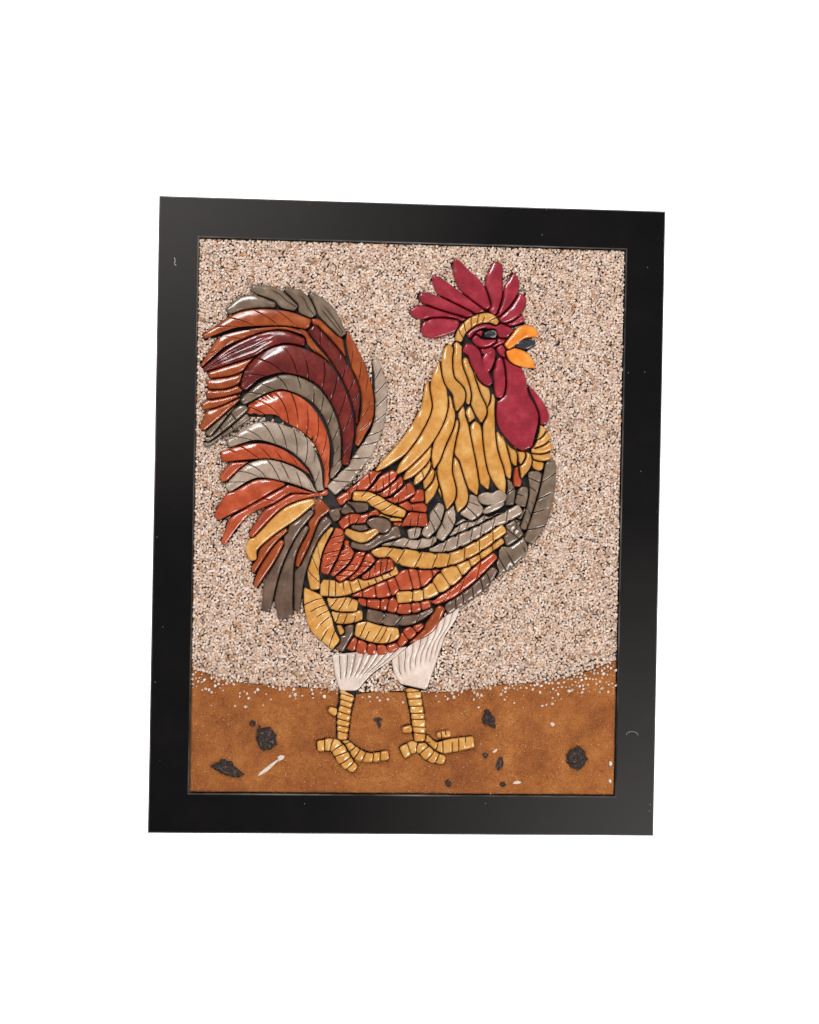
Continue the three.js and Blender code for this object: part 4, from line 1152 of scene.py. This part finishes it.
crumbs = mesh_of("lava_crumbs", [
    bit(188, 75, 13, 5, 0.1, 1), bit(189, 70, 5, 9, 0.2, 2), bit(297, 40, 7, 6, 0.4, 3),
    bit(312, 32, 8, 17, -0.2, 4), bit(260, 12, 9, 8, 0.3, 5), bit(315, 11, 8, 6, 0.0, 6),
    bit(62, 70, 9, 7, 0.7, 7), bit(69, 67, 4, 4, 0.0, 8)])
crumbs.data.materials.append(lava)
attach(crumbs, "root")
slivers = mesh_of("pale_slivers", [
    bit(79, 26, 37, 4.5, 0.68, 11), bit(91, 36, 9, 6, 0.6, 17), bit(365, 72, 6, 5, 0.2, 12),
    bit(330, 13, 11, 3.5, 0.1, 13), bit(307, 45, 8, 3, 0.8, 14), bit(425, 33, 4, 6, 0.0, 15),
    bit(425, 15, 4, 5, 0.3, 16)])
slivers.data.materials.append(stray_stone)
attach(slivers, "root")


# Frame: four flat mitred mouldings painted satin black after joining, so no joint shows at the corners.
MITRE_CLOSE = 0.00015
MIDDLE_HEIGHT = (cad_low[2] + cad_high[2]) / 2
# The two corners where the paint is made paler grey, as a painted reflection of the lights.
SHEEN_CORNERS = ((-255, -22, 20), (255, -22, -614))


def paint_material():
    """Satin black with dust specks, and a thin grey haze towards two of the corners that is a painted
    reflection of the lights.
    """
    material, tree, shader, place = surface("satin black paint, lightly scuffed", 0.4)
    shader.inputs["Specular IOR Level"].default_value = 0.09
    tone = ramp(tree, mottle(tree, place, 0.02, 6.0, 0.65), [
        (0.3, "#060505"), (0.55, "#0a0808"), (0.8, "#110e0d")])
    specks = remap(tree, cells_of(tree, place, 0.06)[1], 0.035, 0.02, 0.0, 0.7)
    dusty = mix(tree, specks, tone, linear("#8d857c"))
    painted_sheens = []
    # A grey haze that fades out from these two corners: a painted reflection of the lights.
    for corner in SHEEN_CORNERS:
        apart = add(tree, "ShaderNodeVectorMath", {"operation": "DISTANCE"}, _0=place, _1=corner)
        painted_sheens.append(remap(tree, apart.outputs["Value"], 20.0, 330.0, 0.045, 0.0))
    painted_sheen = add(tree, "ShaderNodeMath", {"operation": "ADD"}, _0=painted_sheens[0], _1=painted_sheens[1])
    with_painted_sheen = mix(tree, painted_sheen.outputs[0], dusty, linear("#c9c0ba"))
    tree.links.new(with_painted_sheen, shader.inputs["Base Color"])
    bump(tree, shader, mottle(tree, place, 0.15, 5.0), 0.15, 0.0006)
    return material


def arris_highlight_material():
    """The same paint made paler grey along the arrises, more in some places than others: a painted highlight
    of the lines of light along the edges.
    """
    material, tree, shader, place = surface("rubbed paint of the arrises", 0.45)
    patches = ramp(tree, mottle(tree, place, 0.012, 3.0, 0.7), [
        (0.35, "#1b1817"), (0.5, "#4a4543"), (0.68, "#7b7470")])
    tree.links.new(patches, shader.inputs["Base Color"])
    return material


paint = paint_material()
arris_highlight = arris_highlight_material()
for side in ("top", "bottom", "left", "right"):
    rail = copy_of("frame_rail_" + side, "rail_" + side)
    rail.data.materials.append(paint)
    rail.data.materials.append(arris_highlight)
    for vertex in rail.data.vertices:
        if side in ("top", "bottom"):
            vertex.co.x += math.copysign(MITRE_CLOSE, vertex.co.x)
        else:
            vertex.co.z += math.copysign(MITRE_CLOSE, vertex.co.z - MIDDLE_HEIGHT)
    for polygon in rail.data.polygons:
        # The angled faces of the arrises take the second material, a painted highlight of the edges.
        polygon.use_smooth = False
        polygon.material_index = 1 if polygon.normal.y < -0.3 and abs(polygon.normal.y) < 0.95 else 0
    ride_for(rail, "frame_paint", "frame_rail_" + side)

# Two marks in the paint: a pale scuff high on the left rail and a curved scratch low on the right one. Both
# are thin ridges that start just under the face of the rail.
MARK_FOOT = 21.9
MARK_TOP = 22.04
pale_mark, _, mark_shader, _ = surface("pale scratch in the paint", 0.6)
mark_shader.inputs["Base Color"].default_value = linear("#8b8480")


def scratch(name, path, width):
    """A hair-thin closed ridge of scraped paint along a curve on the face of a rail."""
    shells = []
    for (u0, v0), (u1, v1) in zip(path, path[1:]):
        run = math.hypot(u1 - u0, v1 - v0)
        across = ((v0 - v1) / run * width / 2, (u1 - u0) / run * width / 2)
        ring = [(u0 - across[0], v0 - across[1]), (u1 - across[0], v1 - across[1]),
                (u1 + across[0], v1 + across[1]), (u0 + across[0], v0 + across[1])]
        shells.append((*skin([[(*spot, out, 0.0) for spot in ring] for out in (MARK_FOOT, MARK_TOP)]), 1.0))
    piece = mesh_of(name, shells)
    piece.data.materials.append(pale_mark)
    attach(piece, "root")


scratch("left_rail_scuff", [(-24, 533), (-23, 530), (-24, 527), (-22, 525)], 1.1)
scratch("right_rail_scratch", [(446 + 6 * math.cos(a / 4), 62 + 4 * math.sin(a / 4)) for a in range(13)], 0.5)


# Board and bed: a plywood board behind, and the black adhesive that the stones are pressed into.
def plain_material(name, light, dark, rough, stretch):
    """Two close tones in streaks or clouds."""
    material, tree, shader, place = surface(name, rough)
    turned = add(tree, "ShaderNodeMapping", Vector=place, Scale=stretch).outputs[0]
    streaks = ramp(tree, mottle(tree, turned, 0.08, 5.0), [(0.35, dark), (0.65, light)])
    tree.links.new(streaks, shader.inputs["Base Color"])
    return material


adhesive = plain_material("set black adhesive", "#1c1410", "#0e0907", 0.7, (1, 1, 1))
board = plain_material("plain plywood", "#b99363", "#a67f50", 0.8, (6, 1, 0.3))

# Squeezed-out adhesive: low black pads that fill the hollows between the roots of the plumes. Each has its
# middle and its reach in the layout.
PAD_MIDDLE = 18
PAD_RISE = 0.0008
PADS = ((139, 296, 12), (64, 380, 4), (73, 377, 4.5), (82, 374, 4.5), (91, 370, 4))
shape = bmesh.new()
for u, v, reach in PADS:
    place = Matrix.Translation(metres(u, v, PAD_MIDDLE))
    flat = Matrix.Diagonal((reach / 1000, PAD_RISE, reach / 1000, 1))
    bmesh.ops.create_uvsphere(shape, u_segments=24, v_segments=10, radius=1, matrix=place @ flat)
pad_mesh = bpy.data.meshes.new("squeezed_adhesive")
shape.to_mesh(pad_mesh)
shape.free()
squeezed = new_object("squeezed_adhesive", pad_mesh)
squeezed.data.materials.append(adhesive)
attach(squeezed, "root")

# The board and the bed have flat faces.
for node, material, slot in (("adhesive_bed", adhesive, "adhesive"), ("backing_board", board, "board")):
    layer = copy_of(node, node + "_layer")
    for polygon in layer.data.polygons:
        polygon.use_smooth = False
    layer.data.materials.append(material)
    ride_for(layer, slot, node)


# Stage: a plain white wall behind the panel, which is clear when it is seen from behind, a soft light from
# the lower right in front, one from above and one from the upper left.
WALL_BACK = 0.35
WALL_HALF = 4


def box_light(name, place, aim, size, power):
    """A square soft light that points at a place."""
    data = bpy.data.lights.new(name, "AREA")
    data.shape = "SQUARE"
    data.size = size
    data.energy = power
    light = bpy.data.objects.new(name, data)
    light.location = place
    light.rotation_euler = (Vector(aim) - Vector(place)).to_track_quat("-Z", "Y").to_euler()
    scene.collection.objects.link(light)


middle = Vector((0, -0.022, -0.297))
wall_mesh = bpy.data.meshes.new("backdrop")
corners = [(a * WALL_HALF, WALL_BACK, b * WALL_HALF) for a, b in ((-1, -1), (1, -1), (1, 1), (-1, 1))]
wall_mesh.from_pydata(corners, [], [(0, 1, 2, 3)])
backdrop = new_object("backdrop", wall_mesh)
pale_wall, tree, glow, _ = surface("plain white ground", 0.5)
glow.inputs["Base Color"].default_value = linear("#ffffff")
glow.inputs["Emission Color"].default_value = linear("#ffffff")
glow.inputs["Emission Strength"].default_value = 0.9
clear = add(tree, "ShaderNodeBsdfTransparent")
one_sided = add(tree, "ShaderNodeMixShader", _0=add(tree, "ShaderNodeNewGeometry").outputs["Backfacing"],
                _1=glow.outputs[0], _2=clear.outputs[0])
tree.links.new(one_sided.outputs[0], tree.nodes["Material Output"].inputs["Surface"])
wall_mesh.materials.append(pale_wall)

box_light("key", (0.9, -1.6, -1.25), middle, 0.7, 26)
box_light("top", (-0.5, -1.3, 1.0), middle, 0.6, 13)
box_light("window", (-0.45, -1.9, 0.62), middle, 0.45, 17)
world = bpy.data.worlds.new("studio")
world.use_nodes = True
world.node_tree.nodes["Background"].inputs["Color"].default_value = linear("#ffffff")
world.node_tree.nodes["Background"].inputs["Strength"].default_value = 0.36
scene.world = world
scene.view_settings.view_transform = "Standard"

# Camera: its place from the middle of the panel's face, and the directions of its right and upper side,
# solved from the frame's corners in the photograph.
CAMERA_OFF = Vector((-0.15896, -2.00208, 0.01960))
lens = bpy.data.cameras.new("camera")
lens.lens = 70.3
lens.sensor_width = 36
lens.sensor_fit = "AUTO"
camera = bpy.data.objects.new("camera", lens)
scene.collection.objects.link(camera)
right = Vector((0.99668, -0.07917, 0.01896))
up = Vector((-0.01842, 0.00756, 0.99980))
back = right.cross(up)
seat = middle + CAMERA_OFF
camera.matrix_world = Matrix((
    (right.x, up.x, back.x, seat.x),
    (right.y, up.y, back.y, seat.y),
    (right.z, up.z, back.z, seat.z),
    (0, 0, 0, 1)))
scene.camera = camera
